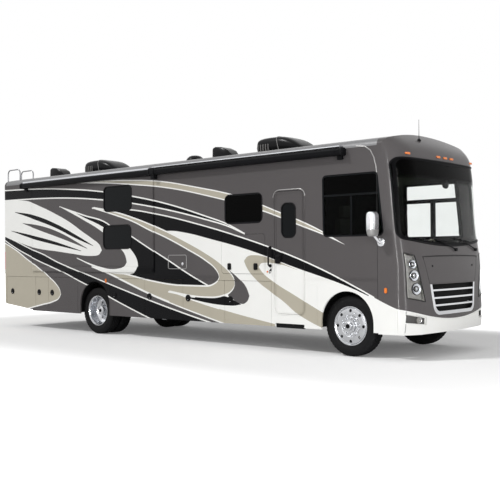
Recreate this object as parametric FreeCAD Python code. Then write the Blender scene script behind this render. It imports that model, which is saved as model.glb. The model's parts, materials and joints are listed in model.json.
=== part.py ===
# A full size class A motorhome with a front engine, twin rear wheels, two slide out rooms,
# a hinged entry door, side hinged baggage doors and a top hinged outside hatch.
# Millimetres. +X is forward, +Y is the left side, +Z is up, and the wheels stand on Z = 0.
# Stations along the body are given from the front axle, forward positive.
import FreeCAD, Part
import math
import os
from FreeCAD import Vector

os.makedirs("parts", exist_ok=True)

# Overall sizes
wheelbase = 6210.0
front_reach = 1185.0        # front axle to the bumper's face
rear_reach = 9640.0         # front axle to the back of the ladder
half_width = 1270.0
roof_top = 3450.0
roof_edge_radius = 115.0
roof_crown_radius = 5340.0
roof_thickness = 70.0
wall = 45.0
skin = 30.0                 # skirt panels and caps
floor_top = 1172.0
floor_thickness = 80.0
skirt_bottom = 400.0
tail_bottom = 530.0         # the skirt rises towards the tail
tail_rise_station = -8370.0
body_rear = -9500.0
rear_seam = -9400.0
front_seam = 565.0
cap_bottom = 385.0
panel_gap = 6.0
seat_gap = 0.3              # running clearance where one piece rides on another

front_axle_x = (rear_reach - front_reach) / 2
rear_axle = -wheelbase      # as a station

# Wheels
tyre_radius = 472.5
tyre_half_width = 122.0
bead_radius = 288.0
lip_radius = 303.0
rim_half_width = 112.0
barrel_thickness = 10.0
wheel_track = 1060.0        # centre of the outer tyre from the middle
twin_spacing = 290.0
hub_radius = 78.0
spindle_radius = 35.0
rear_spindle_radius = 45.0
pin_clearance = 0.4
hand_hole_radius = 25.0
hand_hole_circle = 237.0
hand_holes = 8
hub_cap_reach = 188.0

# Steering
kingpin_y = 880.0
kingpin_radius = 22.0
boss_radius = 38.0
boss_height = 80.0
steering_arm = 180.0
tie_rod_radius = 15.0

# Chassis
rail_y = 438.0              # outer face of each rail
rail_flange = 75.0
rail_plate = 8.0
rail_bottom = 660.0
rail_top = 880.0
rail_rear = -9300.0
rail_front = 900.0
spring_width = 75.0
leaf_thickness = 14.0
crossmember_stations = [700, -1000, -2250, -3450, -4650, -5450, -6950, -7950, -9200]
crossmember_width = 60.0

# Receiver at the tail
receiver_outer = 63.5
receiver_inner = 51.0
receiver_z = 495.0
receiver_reach = -9560.0
receiver_pin_radius = 8.0
receiver_pin_inset = 45.0

# Arches
front_arch_radius = 483.0
front_arch_centre_z = 529.0
rear_arch_radius = 475.0
rear_arch_centre_z = 593.0
rear_arch_shift = 20.0      # the rear arch stands this far ahead of the axle
front_liner = (600.0, 489.0)    # radius and height of the centre
rear_liner = (515.0, 560.0)
liner_thickness = 5.0
liner_inner_y = 610.0

# Entry door and its step
door_front = -817.0
door_rear = -1422.0
door_bottom = 617.0
door_top = 2615.0
door_corner = 95.0
stop_lap = 12.0             # how far a closed leaf laps its stop frame
door_thickness = 40.0
door_window = ((-1282.0, -972.0), (1853.0, 2431.0))
step_stations = (-1410.0, -830.0)
step_z = (385.0, 449.0)
step_depth = 330.0

# Slide out rooms
slide_right = (-8376.0, -4376.0)
slide_left = (-7300.0, -2300.0)
slide_z = (1262.0, 3092.0)
slide_flange = 30.0
slide_lip = 12.0
slide_lip_gap = 5.0
slide_depth = 655.0
slide_wall = 40.0
runner_width = 60.0

# Windows, as (rear, front), (low, high)
slide_right_windows = [((-5857.0, -4991.0), (2463.0, 2972.0)), ((-5876.0, -5014.0), (1718.0, 2199.0))]
slide_left_windows = [((-6900.0, -6000.0), (2000.0, 2700.0)), ((-4900.0, -3500.0), (1900.0, 2700.0))]
mid_window = ((-2551.0, -1680.0), (2115.0, 2632.0))
left_rear_window = ((-8700.0, -7800.0), (2115.0, 2632.0))
window_corner = 70.0
glass_thickness = 6.0
frame_width = 28.0

# Cab side windows, a slanted outline
cab_window_rear = (-446.0, -439.0)    # station at the top and at the bottom
cab_window_front = (575.0, 681.0)
cab_window_z = (1850.0, 2818.0)
cab_window_corner = 75.0
cab_divider_z = 2495.0
cab_divider_station = 96.0

# Outside hatch
hatch_stations = (-2631.0, -1639.0)
hatch_z = (1264.0, 1934.0)
hatch_corner = 60.0

# Baggage doors, as (rear, front) stations
baggage_right = [(-9380, -8255), (-8255, -7776), (-7776, -6745), (-5695, -4654), (-4654, -3607),
                 (-3607, -2565), (-2565, -1505)]
baggage_left = [(-5695, -4654), (-3607, -2565)]
baggage_top = 1139.0
baggage_thickness = 40.0
bay_floor = 430.0
bay_tail_floor = 560.0
bay_panel = 16.0
bay_back = 480.0

# Front cap sections: height, station of the front, depth of the corner
cap_sections = [(385, 1165, 330), (520, 1183, 330), (660, 1185, 330), (1100, 1165, 310), (1530, 1140, 290),
                (1780, 1105, 285), (2400, 1062, 320), (2980, 1022, 360), (3120, 992, 360), (3250, 905, 300),
                (3360, 780, 190), (3460, 640, 60)]
cap_side = 1.0              # the sections stand this far outside the body form that trims them
cap_flat = half_width - 400     # half of the gently bowed part of the front
cap_bow_radius = 8360.0
corner_pull = 0.55          # how full the corner's curve is
cap_wall = 40.0
glass_wall = 8.0

# Windshield as seen from the front
windshield_half = half_width - 15
windshield_top = 3010.0
windshield_low_side = 1790.0
windshield_low_middle = 1695.0
windshield_corner = 110.0

# Hood panel, grille, lamps and bumper as seen from the front
hood_top = (half_width - 400, 1535.0)
hood_low = (half_width - 535, 1128.0)
grille_top = (half_width - 548, 1118.0)
grille_low = (half_width - 630, 655.0)
grille_corner = 130.0
grille_surround = 52.0
grille_bar_z = [1026.0, 910.0, 798.0]
grille_bar_height = 26.0
grille_depth = 64.0
headlamp_outline = [(half_width - 70, 1590.0), (half_width - 225, 1552.0), (half_width - 408, 868.0),
                    (half_width - 90, 934.0)]
headlamp_corner = 22.0
tub_depth = 70.0
tub_wall = 6.0
lamp_recess = 30.0
round_lamps = [(half_width - 162, 1429.0, 68.0), (half_width - 172, 1262.0, 78.0),
               (half_width - 212, 1066.0, 82.0)]
fog_outline = [(half_width - 66, 700.0), (half_width - 422, 634.0), (half_width - 418, 520.0),
               (half_width - 56, 556.0)]
fog_lamp = (half_width - 260, 598.0, 48.0)
bumper_station = 895.0
bumper_top_side = 759.0
bumper_top_middle = 570.0

# Roof fittings, as (rear, front) stations
air_conditioner_front = (-2610.0, -1360.0)
air_conditioner_rear = (-7730.0, -6300.0)
air_conditioner_half = 360.0
air_conditioner_height = 290.0
awning_stations = (-8632.0, -21.0)
awning_z = (3098.0, 3212.0)
awning_depth = 125.0
ladder_y = (200.0 - half_width, 550.0 - half_width)
ladder_tube = 14.0
ladder_low = 900.0
ladder_hoop_top = 3590.0
ladder_hoop_end = -9140.0
ladder_rung_pitch = 300.0
ladder_bend = 90.0
ladder_stays = [960.0, 2000.0, 3100.0]

# Mirrors, wipers, tail lamps and hinges
mirror_stations = (510.0, 620.0)
mirror_reach = (80.0, 280.0)    # outward from the side
mirror_z = (1850.0, 2215.0)
mirror_corner = 40.0
mirror_base_z = (1690.0, 1790.0)
wiper_pivots = (87.0, half_width - 426)
wiper_pivot_z = 1640.0
wiper_reach = 560.0
wiper_tip_z = 1800.0
wiper_blade_radius = 8.0
tail_lamp_z = (1300.0, 1700.0)
tail_lamp_width = 140.0
lamp_row_y = half_width - 270
baggage_hinge_radius = 2.7
door_hinge_radius = 4.0

RIGHT, LEFT = -1, 1


def at(station):
    """Part X of a station."""
    return front_axle_x + station


def box(xs, ys, zs):
    """A block between pairs of part coordinates."""
    x0, x1 = sorted(xs)
    y0, y1 = sorted(ys)
    z0, z1 = sorted(zs)
    return Part.makeBox(x1 - x0, y1 - y0, z1 - z0, Vector(x0, y0, z0))


def fuse(shapes):
    """One solid from shapes that meet."""
    joined = shapes[0]
    if len(shapes) > 1:
        joined = joined.multiFuse(shapes[1:])
    return joined.removeSplitter()


def group(shapes):
    """Separate solids in one node."""
    solids = []
    for shape in shapes:
        solids += shape.Solids
    return Part.makeCompound(solids)


def mirrored(shape):
    """The same piece on the other side."""
    return shape.mirror(Vector(0, 0, 0), Vector(0, 1, 0))


def on_side(shape, side):
    """Pieces are drawn on the right side and mirrored to the left."""
    return shape if side == RIGHT else mirrored(shape)


def both(shape):
    return group([shape, mirrored(shape)])


def rounded_points(a0, a1, b0, b1):
    return [(a0, b0), (a1, b0), (a1, b1), (a0, b1)]


def outline_face(points, radius, place):
    """A polygon with rounded corners; place turns (a, b) into a point."""
    count = len(points)
    edges = []
    ends = []
    for i in range(count):
        before, here, after = points[i - 1], points[i], points[(i + 1) % count]
        corner = place(*here)
        to_before = place(*before) - corner
        to_after = place(*after) - corner
        half_angle = to_before.getAngle(to_after) / 2
        if radius > 0:
            reach = radius / math.tan(half_angle)
            start = corner + to_before.normalize() * reach
            end = corner + to_after.normalize() * reach
            middle_way = (to_before + to_after).normalize()
            middle = corner + middle_way * (radius / math.sin(half_angle) - radius)
            edges.append(Part.Arc(start, middle, end).toShape())
        else:
            start = end = corner
            edges.append(None)
        ends.append((start, end))
    loop = []
    for i in range(count):
        if edges[i] is not None:
            loop.append(edges[i])
        loop.append(Part.makeLine(ends[i][1], ends[(i + 1) % count][0]))
    return Part.Face(Part.Wire(loop))


def prism_y(points, ys, radius=0.0):
    """An outline of (x, z) points drawn out along Y."""
    y0, y1 = sorted(ys)
    face = outline_face(points, radius, lambda x, z: Vector(x, y0, z))
    return face.extrude(Vector(0, y1 - y0, 0))


def prism_x(points, xs, radius=0.0):
    """An outline of (y, z) points drawn out along X."""
    x0, x1 = sorted(xs)
    face = outline_face(points, radius, lambda y, z: Vector(x0, y, z))
    return face.extrude(Vector(x1 - x0, 0, 0))


def prism_z(points, zs, radius=0.0):
    """An outline of (x, y) points drawn out along Z."""
    z0, z1 = sorted(zs)
    face = outline_face(points, radius, lambda x, y: Vector(x, y, z0))
    return face.extrude(Vector(0, 0, z1 - z0))


def panel(stations, zs, ys, radius=0.0):
    """A side panel between stations."""
    return prism_y(rounded_points(at(stations[0]), at(stations[1]), zs[0], zs[1]), ys, radius)


def cylinder(base, axis, radius, length):
    return Part.makeCylinder(radius, length, base, axis)


def rod(start, end, radius):
    """A round bar from point to point."""
    way = end - start
    return Part.makeCylinder(radius, way.Length, start, way)


def revolve_y(points, x, z, side):
    """A turned piece about a wheel's axis from (radius, distance from the middle) points."""
    outline = [Vector(r, side * a, 0) for r, a in points]
    face = Part.Face(Part.makePolygon(outline + outline[:1]))
    turned = face.revolve(Vector(0, 0, 0), Vector(0, 1, 0), 360)
    turned.translate(Vector(x, 0, z))
    return turned


def body_section(x, bottom, inset):
    """The body's cross section: straight sides, rounded roof edges and a crowned roof."""
    half = half_width - inset
    edge = roof_edge_radius - min(inset, roof_edge_radius - 10)
    crown = roof_crown_radius - inset
    crown_z = roof_top - inset - crown
    edge_y = half - edge
    edge_z = crown_z + math.sqrt((crown - edge) ** 2 - edge_y ** 2)
    slope = math.asin(edge_y / (crown - edge))
    touch = Vector(x, crown * math.sin(slope), crown_z + crown * math.cos(slope))
    turn = (math.pi / 2 + slope) / 2
    shoulder = Vector(x, edge_y + edge * math.sin(turn), edge_z + edge * math.cos(turn))
    side_top = Vector(x, half, edge_z)
    flip = lambda v: Vector(v.x, -v.y, v.z)
    edges = [Part.makeLine(Vector(x, half, bottom), side_top),
             Part.Arc(side_top, shoulder, touch).toShape(),
             Part.Arc(touch, Vector(x, 0, crown_z + crown), flip(touch)).toShape(),
             Part.Arc(flip(touch), flip(shoulder), flip(side_top)).toShape(),
             Part.makeLine(flip(side_top), Vector(x, -half, bottom)),
             Part.makeLine(Vector(x, -half, bottom), Vector(x, half, bottom))]
    return Part.Face(Part.Wire(edges)), edge_z


def body_hull(stations, bottom, inset=0.0):
    face, _ = body_section(at(stations[0]), bottom, inset)
    return face.extrude(Vector(stations[1] - stations[0], 0, 0))


wall_top = body_section(0, 0, 0.0)[1]
floor_low = floor_top - floor_thickness


# Wheels

def tyre(station, centre):
    """A tyre's ring with bulged sidewalls and rounded shoulders, on the right side."""
    shoulder = tyre_half_width - 18
    bead = 97.7             # the bead tapers like the rim's seat
    heel = Vector(lip_radius + seat_gap, 103.7, 0)
    points = [Vector(bead_radius, -bead, 0), Vector(bead_radius, bead, 0)]
    side_radius = (bead_radius + tyre_radius) / 2 - 10
    crown_drop = 24.0
    outer = [Vector(tyre_radius - crown_drop, shoulder, 0), Vector(tyre_radius - 7, shoulder - 8, 0),
             Vector(tyre_radius, shoulder - 26, 0)]
    flip = lambda v: Vector(v.x, -v.y, 0)
    edges = [Part.makeLine(points[0], points[1]), Part.makeLine(points[1], heel),
             Part.Arc(heel, Vector(side_radius, tyre_half_width, 0), outer[0]).toShape(),
             Part.makeLine(outer[0], outer[1]), Part.makeLine(outer[1], outer[2]),
             Part.makeLine(outer[2], flip(outer[2])),
             Part.makeLine(flip(outer[2]), flip(outer[1])), Part.makeLine(flip(outer[1]), flip(outer[0])),
             Part.Arc(flip(outer[0]), Vector(side_radius, -tyre_half_width, 0), flip(heel)).toShape(),
             Part.makeLine(flip(heel), points[0])]
    ring = Part.Face(Part.Wire(edges)).revolve(Vector(0, 0, 0), Vector(0, 1, 0), 360)
    ring.translate(Vector(at(station), -centre, tyre_radius))
    return ring


def holes_y(station, circle, count, radius, ys):
    """Holes round a wheel's axis, drawn along Y."""
    cutters = []
    for i in range(count):
        angle = 2 * math.pi * i / count
        x = at(station) + circle * math.sin(angle)
        z = tyre_radius + circle * math.cos(angle)
        cutters.append(cylinder(Vector(x, ys[0], z), Vector(0, 1, 0), radius, ys[1] - ys[0]))
    return Part.makeCompound(cutters)


def front_rim():
    """A front wheel: lips, barrel, a nearly flush disc with hand holes and a long hub."""
    c = wheel_track
    inner = bead_radius - barrel_thickness
    bore = spindle_radius + pin_clearance
    points = [(0, c + hub_cap_reach), (50, c + hub_cap_reach), (62, c + hub_cap_reach - 8),
              (70, c + 142), (94, c + 136), (98, c + 104), (162, c + 104), (174, c + 113),
              (240, c + 110), (272, c + 102), (inner, c + 96), (292, c + rim_half_width),
              (lip_radius, c + rim_half_width), (lip_radius, c + 104), (bead_radius, c + 98),
              (bead_radius, c - 98), (lip_radius, c - 104), (lip_radius, c - rim_half_width),
              (292, c - rim_half_width), (inner, c - 96), (inner, c + 64), (244, c + 84),
              (hub_radius, c + 90), (hub_radius, c - 10), (180, c - 10), (180, c - 34),
              (hub_radius, c - 34), (hub_radius, c - 45), (bore, c - 45), (bore, c + 62), (0, c + 62)]
    rim = revolve_y(points, at(0), tyre_radius, RIGHT)
    return rim.cut(holes_y(0, hand_hole_circle, hand_holes, hand_hole_radius, (-c - 150, -c)))


def rear_rims():
    """The twin rear wheels, bolted disc to disc, with the hub and the brake drum."""
    outer = wheel_track
    inner = wheel_track - twin_spacing
    middle = (outer + inner) / 2
    barrel = bead_radius - barrel_thickness
    bore = rear_spindle_radius + pin_clearance
    points = [(bore, middle - 75), (hub_radius, middle - 75), (hub_radius, middle - 14), (192, middle - 14),
              (192, inner - 66), (206, inner - 66), (206, middle - 16), (226, middle - 14),
              (barrel, inner + 80), (barrel, inner - 96), (292, inner - rim_half_width),
              (lip_radius, inner - rim_half_width), (lip_radius, inner - 104), (bead_radius, inner - 98),
              (bead_radius, inner + 98), (lip_radius, inner + 104), (lip_radius, inner + rim_half_width),
              (290, inner + rim_half_width), (242, middle - 4), (242, middle + 4),
              (290, outer - rim_half_width), (lip_radius, outer - rim_half_width), (lip_radius, outer - 104),
              (bead_radius, outer - 98), (bead_radius, outer + 98), (lip_radius, outer + 104),
              (lip_radius, outer + rim_half_width), (292, outer + rim_half_width), (barrel, outer + 96),
              (barrel, outer - 80), (226, middle + 14), (118, middle + 14), (114, outer - 40),
              (96, outer), (90, outer + 40), (62, outer + 52), (0, outer + 52), (0, outer - 50),
              (bore, outer - 50)]
    rims = revolve_y(points, at(rear_axle), tyre_radius, RIGHT)
    return rims.cut(holes_y(rear_axle, 216, hand_holes, hand_hole_radius * 0.8,
                            (-middle - 60, -middle + 60)))


# Axles and steering

def knuckle():
    """The steered knuckle: two ears round the kingpin, the spindle and the steering arm."""
    centre = Vector(at(0), -kingpin_y, tyre_radius)
    hole = kingpin_radius + pin_clearance
    half = boss_height / 2 + 0.5
    ear = 30.0
    ears = []
    for low in (half, -half - ear):
        ears.append(cylinder(centre + Vector(0, 0, low), Vector(0, 0, 1), boss_radius, ear))
        ears.append(box((centre.x - boss_radius, centre.x + boss_radius), (centre.y, centre.y - 78),
                        (tyre_radius + low, tyre_radius + low + ear)))
    yoke = box((centre.x - boss_radius, centre.x + boss_radius), (centre.y - 48, centre.y - 78),
               (tyre_radius - half - ear, tyre_radius + half + ear))
    plate = cylinder(Vector(at(0), -kingpin_y - 78, tyre_radius), Vector(0, -1, 0), 165, 5)
    spindle = cylinder(Vector(at(0), -kingpin_y - 60, tyre_radius), Vector(0, -1, 0), spindle_radius,
                       wheel_track + 50 - kingpin_y - 60)
    arm_low = tyre_radius - half - ear
    arm_points = [(at(0) - 20, centre.y - 36), (at(0) - 20, centre.y + 30),
                  (at(-steering_arm) - 24, centre.y + 24), (at(-steering_arm) - 24, centre.y - 24)]
    arm = prism_z(arm_points, (arm_low, arm_low + 24), 6)
    body = fuse(ears + [yoke, plate, spindle, arm])
    kingpin = cylinder(centre - Vector(0, 0, 100), Vector(0, 0, 1), hole, 200)
    joint = cylinder(Vector(at(-steering_arm), -kingpin_y, arm_low - 5), Vector(0, 0, 1), 12 + pin_clearance, 40)
    return body.cut(kingpin).cut(joint)


def tie_rod():
    """The rod under the two steering arms, with a pin up into each."""
    arm_low = tyre_radius - boss_height / 2 - 0.5 - 30
    z = arm_low - tie_rod_radius - 6
    bar = cylinder(Vector(at(-steering_arm), -kingpin_y, z), Vector(0, 1, 0), tie_rod_radius, 2 * kingpin_y)
    ends = []
    for y in (-kingpin_y, kingpin_y):
        ends.append(cylinder(Vector(at(-steering_arm), y, z - 20), Vector(0, 0, 1), 24, 26 + tie_rod_radius - 0.5))
        ends.append(cylinder(Vector(at(-steering_arm), y, z), Vector(0, 0, 1), 12, arm_low + 22 - z))
    return fuse([bar] + ends)


def leaf_spring(station, half_length, low, rise, leaves):
    """A leaf pack on the right side with its eyes and the hangers below the rail."""
    y0 = -rail_y
    y1 = -rail_y + spring_width
    pieces = []
    for i in range(leaves):
        reach = half_length * (1 - 0.22 * i)
        lift = rise * (reach / half_length) ** 2
        z = low + (leaves - 1 - i) * leaf_thickness
        top = [Vector(at(station - reach), y0, z + lift), Vector(at(station), y0, z),
               Vector(at(station + reach), y0, z + lift)]
        up = Vector(0, 0, leaf_thickness + 0.5)
        face = Part.Face(Part.Wire([Part.Arc(*top).toShape(), Part.makeLine(top[2], top[2] + up),
                                    Part.Arc(top[2] + up, top[1] + up, top[0] + up).toShape(),
                                    Part.makeLine(top[0] + up, top[0])]))
        pieces.append(face.extrude(Vector(0, y1 - y0, 0)))
    eye_z = low + (leaves - 1) * leaf_thickness + rise + leaf_thickness / 2
    for end in (-half_length, half_length):
        x = at(station + end)
        pieces.append(cylinder(Vector(x, y0, eye_z), Vector(0, 1, 0), 26, y1 - y0))
        pieces.append(box((x - 40, x + 40), (y0 + 15, y1 - 15), (eye_z, rail_bottom)))
    return fuse(pieces)


def front_axle():
    """The forged beam with its kingpins, and the front leaf springs."""
    z = tyre_radius
    half = boss_height / 2
    drop = [(-kingpin_y, z - 38), (-690, z - 38), (-600, z - 78), (600, z - 78), (690, z - 38), (kingpin_y, z - 38),
            (kingpin_y, z + 38), (660, z + 38), (560, z - 12), (-560, z - 12), (-660, z + 38), (-kingpin_y, z + 38)]
    beam = prism_x(drop, (at(0) - 32, at(0) + 32))
    pocket = [(-540, z - 30), (-600, z - 60), (600, z - 60), (540, z - 30)]
    for side in (-1, 1):
        beam = beam.cut(prism_x(pocket, (at(0) + side * 32, at(0) + side * 12)))
    pieces = [beam]
    for y in (-kingpin_y, kingpin_y):
        pieces.append(cylinder(Vector(at(0), y, z - half), Vector(0, 0, 1), boss_radius - 2, boss_height))
        pieces.append(cylinder(Vector(at(0), y, z - half - 28), Vector(0, 0, 1), kingpin_radius, boss_height + 56))
    spring = leaf_spring(0, 650, z + 18, 62, 3)
    pad = box((at(-70), at(70)), (-rail_y + 2, -rail_y + spring_width - 2), (z - 20, z + 19))
    pieces += [spring, mirrored(spring), pad, mirrored(pad)]
    return fuse(pieces)


def rear_axle_housing():
    """The banjo housing with its tubes, spindles, springs and propeller shaft."""
    x = at(rear_axle)
    z = tyre_radius
    pieces = [cylinder(Vector(x, -815, z), Vector(0, 1, 0), 65, 1630),
              cylinder(Vector(x, -1000, z), Vector(0, 1, 0), rear_spindle_radius, 2000),
              Part.makeSphere(185, Vector(x, 0, z)),
              Part.makeCone(120, 62, 200, Vector(x + 130, 0, z), Vector(1, 0, 0)),
              rod(Vector(x + 300, 0, z + 5), Vector(at(engine_rear) - 3, 0, engine_low + 45), 45)]
    for y in (-690, 690):
        pieces.append(cylinder(Vector(x, y - 2.5, z), Vector(0, 1, 0), 195, 5))
    spring = leaf_spring(rear_axle, 700, z + 72, 44, 3)
    pad = box((x - 75, x + 75), (-rail_y + 2, -rail_y + spring_width - 2), (z, z + 73))
    pieces += [spring, mirrored(spring), pad, mirrored(pad)]
    return fuse(pieces)


# Chassis

engine_rear = -620.0
engine_front = 560.0
engine_low = 562.0
engine_half = 300.0
engine_top = 1086.0


def channel(ys, station, zs):
    """A pressed crossmember open to the rear."""
    x0 = at(station) - crossmember_width / 2
    x1 = x0 + crossmember_width
    block = box((x0, x1), ys, zs)
    plate = rail_plate
    return block.cut(box((x0 - 1, x1 - plate), (ys[0] - 1, ys[1] + 1), (zs[0] + plate, zs[1] - plate)))


def chassis():
    """Two channel rails, crossmembers, the cradle under the engine, floor beams and the receiver."""
    rail = box((at(rail_rear), at(rail_front)), (-rail_y, -rail_y + rail_flange), (rail_bottom, rail_top))
    hollow = box((at(rail_rear) - 1, at(rail_front) + 1), (-rail_y + rail_plate, -rail_y + rail_flange + 1),
                 (rail_bottom + rail_plate, rail_top - rail_plate))
    rail = rail.cut(hollow)
    pieces = [rail, mirrored(rail)]
    inside = rail_y - rail_plate - seat_gap
    member_z = (rail_bottom + rail_plate + seat_gap, rail_top - rail_plate - seat_gap)
    for station in crossmember_stations:
        if not engine_rear - 60 < station < engine_front + 60:
            pieces.append(channel((-inside, inside), station, member_z))
        pieces.append(floor_beam(station))
    for station in (engine_rear + 150, engine_front - 90):
        pieces.append(cradle(station))
    pieces.append(receiver())
    return group(pieces)


def cradle(station):
    """A sling under the rails that carries the engine."""
    half = engine_half + 50
    top = rail_bottom - seat_gap
    xs = (at(station) - 30, at(station) + 30)
    pieces = [box(xs, (-half, half), (engine_low - 40, engine_low))]
    for side in (-1, 1):
        pieces.append(box(xs, (side * half, side * (half - 40)), (engine_low - 40, top)))
        pieces.append(box(xs, (side * rail_y, side * (half - 40)), (top - 30, top)))
    return fuse(pieces)


def floor_beam(station):
    """A beam across the rails that carries the cabin floor."""
    x = at(station)
    ys = (-bay_back, bay_back)
    low = rail_top + seat_gap
    half = crossmember_width / 2
    web = box((x - rail_plate / 2, x + rail_plate / 2), ys, (low, floor_low))
    flanges = [box((x - half, x + half), ys, (low, low + rail_plate)),
               box((x - half, x + half), ys, (floor_low - rail_plate, floor_low))]
    return fuse([web] + flanges)


def receiver():
    """The square receiver on its cross tube under the tail."""
    half = receiver_outer / 2
    hollow = receiver_inner / 2
    square = box((at(receiver_reach), at(rail_rear)), (-half, half), (receiver_z - half, receiver_z + half))
    square = square.cut(box((at(receiver_reach) - 1, at(rail_rear) - 60), (-hollow, hollow),
                            (receiver_z - hollow, receiver_z + hollow)))
    pin = cylinder(Vector(at(receiver_reach) + receiver_pin_inset, -100, receiver_z), Vector(0, 1, 0),
                   receiver_pin_radius, 200)
    square = square.cut(pin)
    bar = box((at(rail_rear), at(rail_rear) + 60), (-rail_y, rail_y), (receiver_z - 30, receiver_z + 30))
    legs = []
    for side in (-1, 1):
        legs.append(box((at(rail_rear), at(rail_rear) + 140), (side * rail_y, side * (rail_y - 12)),
                        (receiver_z - 30, rail_bottom - seat_gap)))
    return fuse([square, bar] + legs)


def engine():
    """One plain block for the engine and its gearbox."""
    block = prism_y([(at(engine_rear), engine_low + 20), (at(-250), engine_low), (at(engine_front), engine_low),
                     (at(engine_front), engine_top), (at(-100), engine_top), (at(-250), 900), (at(engine_rear), 800)],
                    (-engine_half, engine_half))
    return block


def tanks():
    """The fuel and waste tanks between the rails, and the exhaust with its silencer."""
    top = rail_bottom + rail_plate
    half = rail_y - rail_flange - 12
    fuel = prism_z(rounded_points(at(-9100), at(-7750), -half, half), (450, top), 60)
    waste = prism_z(rounded_points(at(-4750), at(-3350), 75, half), (450, top), 50)
    fresh = prism_z(rounded_points(at(-5550), at(-4850), 75, half), (450, top), 50)
    pipe_y = -230.0
    pipe_z = engine_low + 60
    pipe = rod(Vector(at(engine_rear), pipe_y, pipe_z), Vector(at(-5560), pipe_y, pipe_z), 30)
    silencer = prism_x([(pipe_y - 95, pipe_z - 75), (pipe_y + 95, pipe_z - 75), (pipe_y + 95, pipe_z + 40),
                        (pipe_y - 95, pipe_z + 40)], (at(-3200), at(-2500)), 50)
    hangers = []
    for station in (-2250, -4650, -5450):
        hangers.append(box((at(station) - 6, at(station) + 6), (pipe_y - 6, pipe_y + 6), (pipe_z, top)))
    return group([fuel, waste, fresh, fuse([pipe, silencer] + hangers)])


# Floor, step well and storage bays

def cabin_floor():
    """The floor slab with the step well and the runners that carry the slide out rooms."""
    slab = box((at(rear_seam), at(front_seam)), (-half_width + wall, half_width - wall), (floor_low, floor_top))
    toe_half = half_width - 140
    toe_board = box((at(front_seam), at(880)), (-toe_half, toe_half), (floor_low, floor_top))
    well_x = (at(door_rear) - 8, at(door_front) + 8)
    well_y = (-half_width + wall, -half_width + wall + 560)
    plate = 6.0
    tread = (door_bottom + 10, 890.0)
    outside = box((well_x[0] - plate, well_x[1] + plate), (well_y[0], well_y[1] + plate),
                  (tread[0] - plate, floor_low + 1))
    hollow = box(well_x, (well_y[0] - 1, well_y[1]), (tread[0], floor_top + 1))
    riser = box(well_x, (well_y[0] + 280, well_y[1]), (tread[0] - plate, tread[1]))
    housing_z = step_z[1] + seat_gap
    housing = [box((at(step_stations[0]), at(step_stations[1])), (well_y[0], well_y[0] + step_depth),
                   (housing_z, housing_z + 8))]
    for x in (well_x[0] - plate, well_x[1]):
        housing.append(box((x, x + plate), (well_y[0], well_y[0] + step_depth), (housing_z, tread[0])))
    housing.append(box(well_x, (well_y[0], well_y[0] + step_depth), (housing_z, housing_z + 8)))
    slab = fuse([slab, toe_board, outside]).cut(hollow)
    runners = []
    for side, stations in ((RIGHT, slide_right), (LEFT, slide_left)):
        for station in (stations[0] + 500, (stations[0] + stations[1]) / 2, stations[1] - 500):
            runner = box((at(station) - runner_width / 2, at(station) + runner_width / 2),
                         (-half_width + wall, -half_width + slide_depth), (floor_top, slide_box_z()[0] - seat_gap))
            runners.append(on_side(runner, side))
    return fuse([slab, riser] + housing + runners)


def slide_box_z():
    return (slide_z[0] + slide_flange + panel_gap, slide_z[1] - slide_flange - panel_gap)


def bay_group(stations, floor_z):
    """Floor, back wall and bulkheads of a row of storage bays on the right side, each a panel."""
    mouth = -half_width + baggage_thickness + seat_gap
    back = -bay_back - bay_panel
    x0 = at(stations[0]) - bay_panel / 2
    x1 = at(stations[-1]) + bay_panel / 2
    zs = (floor_z + bay_panel + seat_gap, floor_low)
    pieces = [box((x0, x1), (mouth, -bay_back), (floor_z, floor_z + bay_panel)),
              box((x0, x1), (back, -bay_back), zs)]
    for station in stations:
        x = at(station)
        pieces.append(box((x - bay_panel / 2, x + bay_panel / 2), (mouth, back - seat_gap), zs))
    return pieces


def storage_bays():
    ahead = bay_group([-5670, -4654, -3607, -2565, -1530], bay_floor)
    middle = bay_group([-8255, -7776, -6870], bay_floor + 20)
    tail = bay_group([-9360, -8290], bay_tail_floor)
    return ahead + middle + tail


# Side walls and skirts

def door_outline(grow=0.0):
    """The entry door's outline, its lower corners nearly square."""
    return [(at(door_rear) - grow, door_bottom - grow), (at(door_front) + grow, door_bottom - grow),
            (at(door_front) + grow, door_top + grow), (at(door_rear) - grow, door_top + grow)]


def door_cut():
    return prism_y(door_outline(panel_gap), (-half_width - 30, -half_width + wall + 10), door_corner + panel_gap)


def window_cut(window, grow=0.0):
    stations, zs = window
    return prism_y(rounded_points(at(stations[0]) - grow, at(stations[1]) + grow, zs[0] - grow, zs[1] + grow),
                   (-half_width - 60, -half_width + wall + 60), window_corner + grow)


def window_glass(window, face=0.0):
    """A pane flush with the outer face; face moves it outward."""
    stations, zs = window
    y = -half_width - face
    inner = frame_width - 8
    return prism_y(rounded_points(at(stations[0]) + inner, at(stations[1]) - inner, zs[0] + inner, zs[1] - inner),
                   (y + 4, y + 4 + glass_thickness), window_corner - inner)


def window_frame(window, face=0.0):
    """The black frame round a pane, filling the opening's edge."""
    stations, zs = window
    y = -half_width - face
    outer = window_cut(window).common(box((at(body_rear), at(2000)), (y - 2, y + wall), (0, 4000)))
    inner = prism_y(rounded_points(at(stations[0]) + frame_width, at(stations[1]) - frame_width,
                                   zs[0] + frame_width, zs[1] - frame_width),
                    (y - 10, y + wall + 10), window_corner - frame_width)
    return outer.cut(inner).cut(window_glass(window, face))


def cab_window_points(inset=0.0):
    top, low = cab_window_z[1] - inset, cab_window_z[0] + inset
    return [(at(cab_window_rear[1]) + inset, low), (at(cab_window_front[1]) - inset, low),
            (at(cab_window_front[0]) - inset, top), (at(cab_window_rear[0]) + inset, top)]


def cab_window_prism(inset, ys):
    return prism_y(cab_window_points(inset), ys, cab_window_corner - inset)


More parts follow.
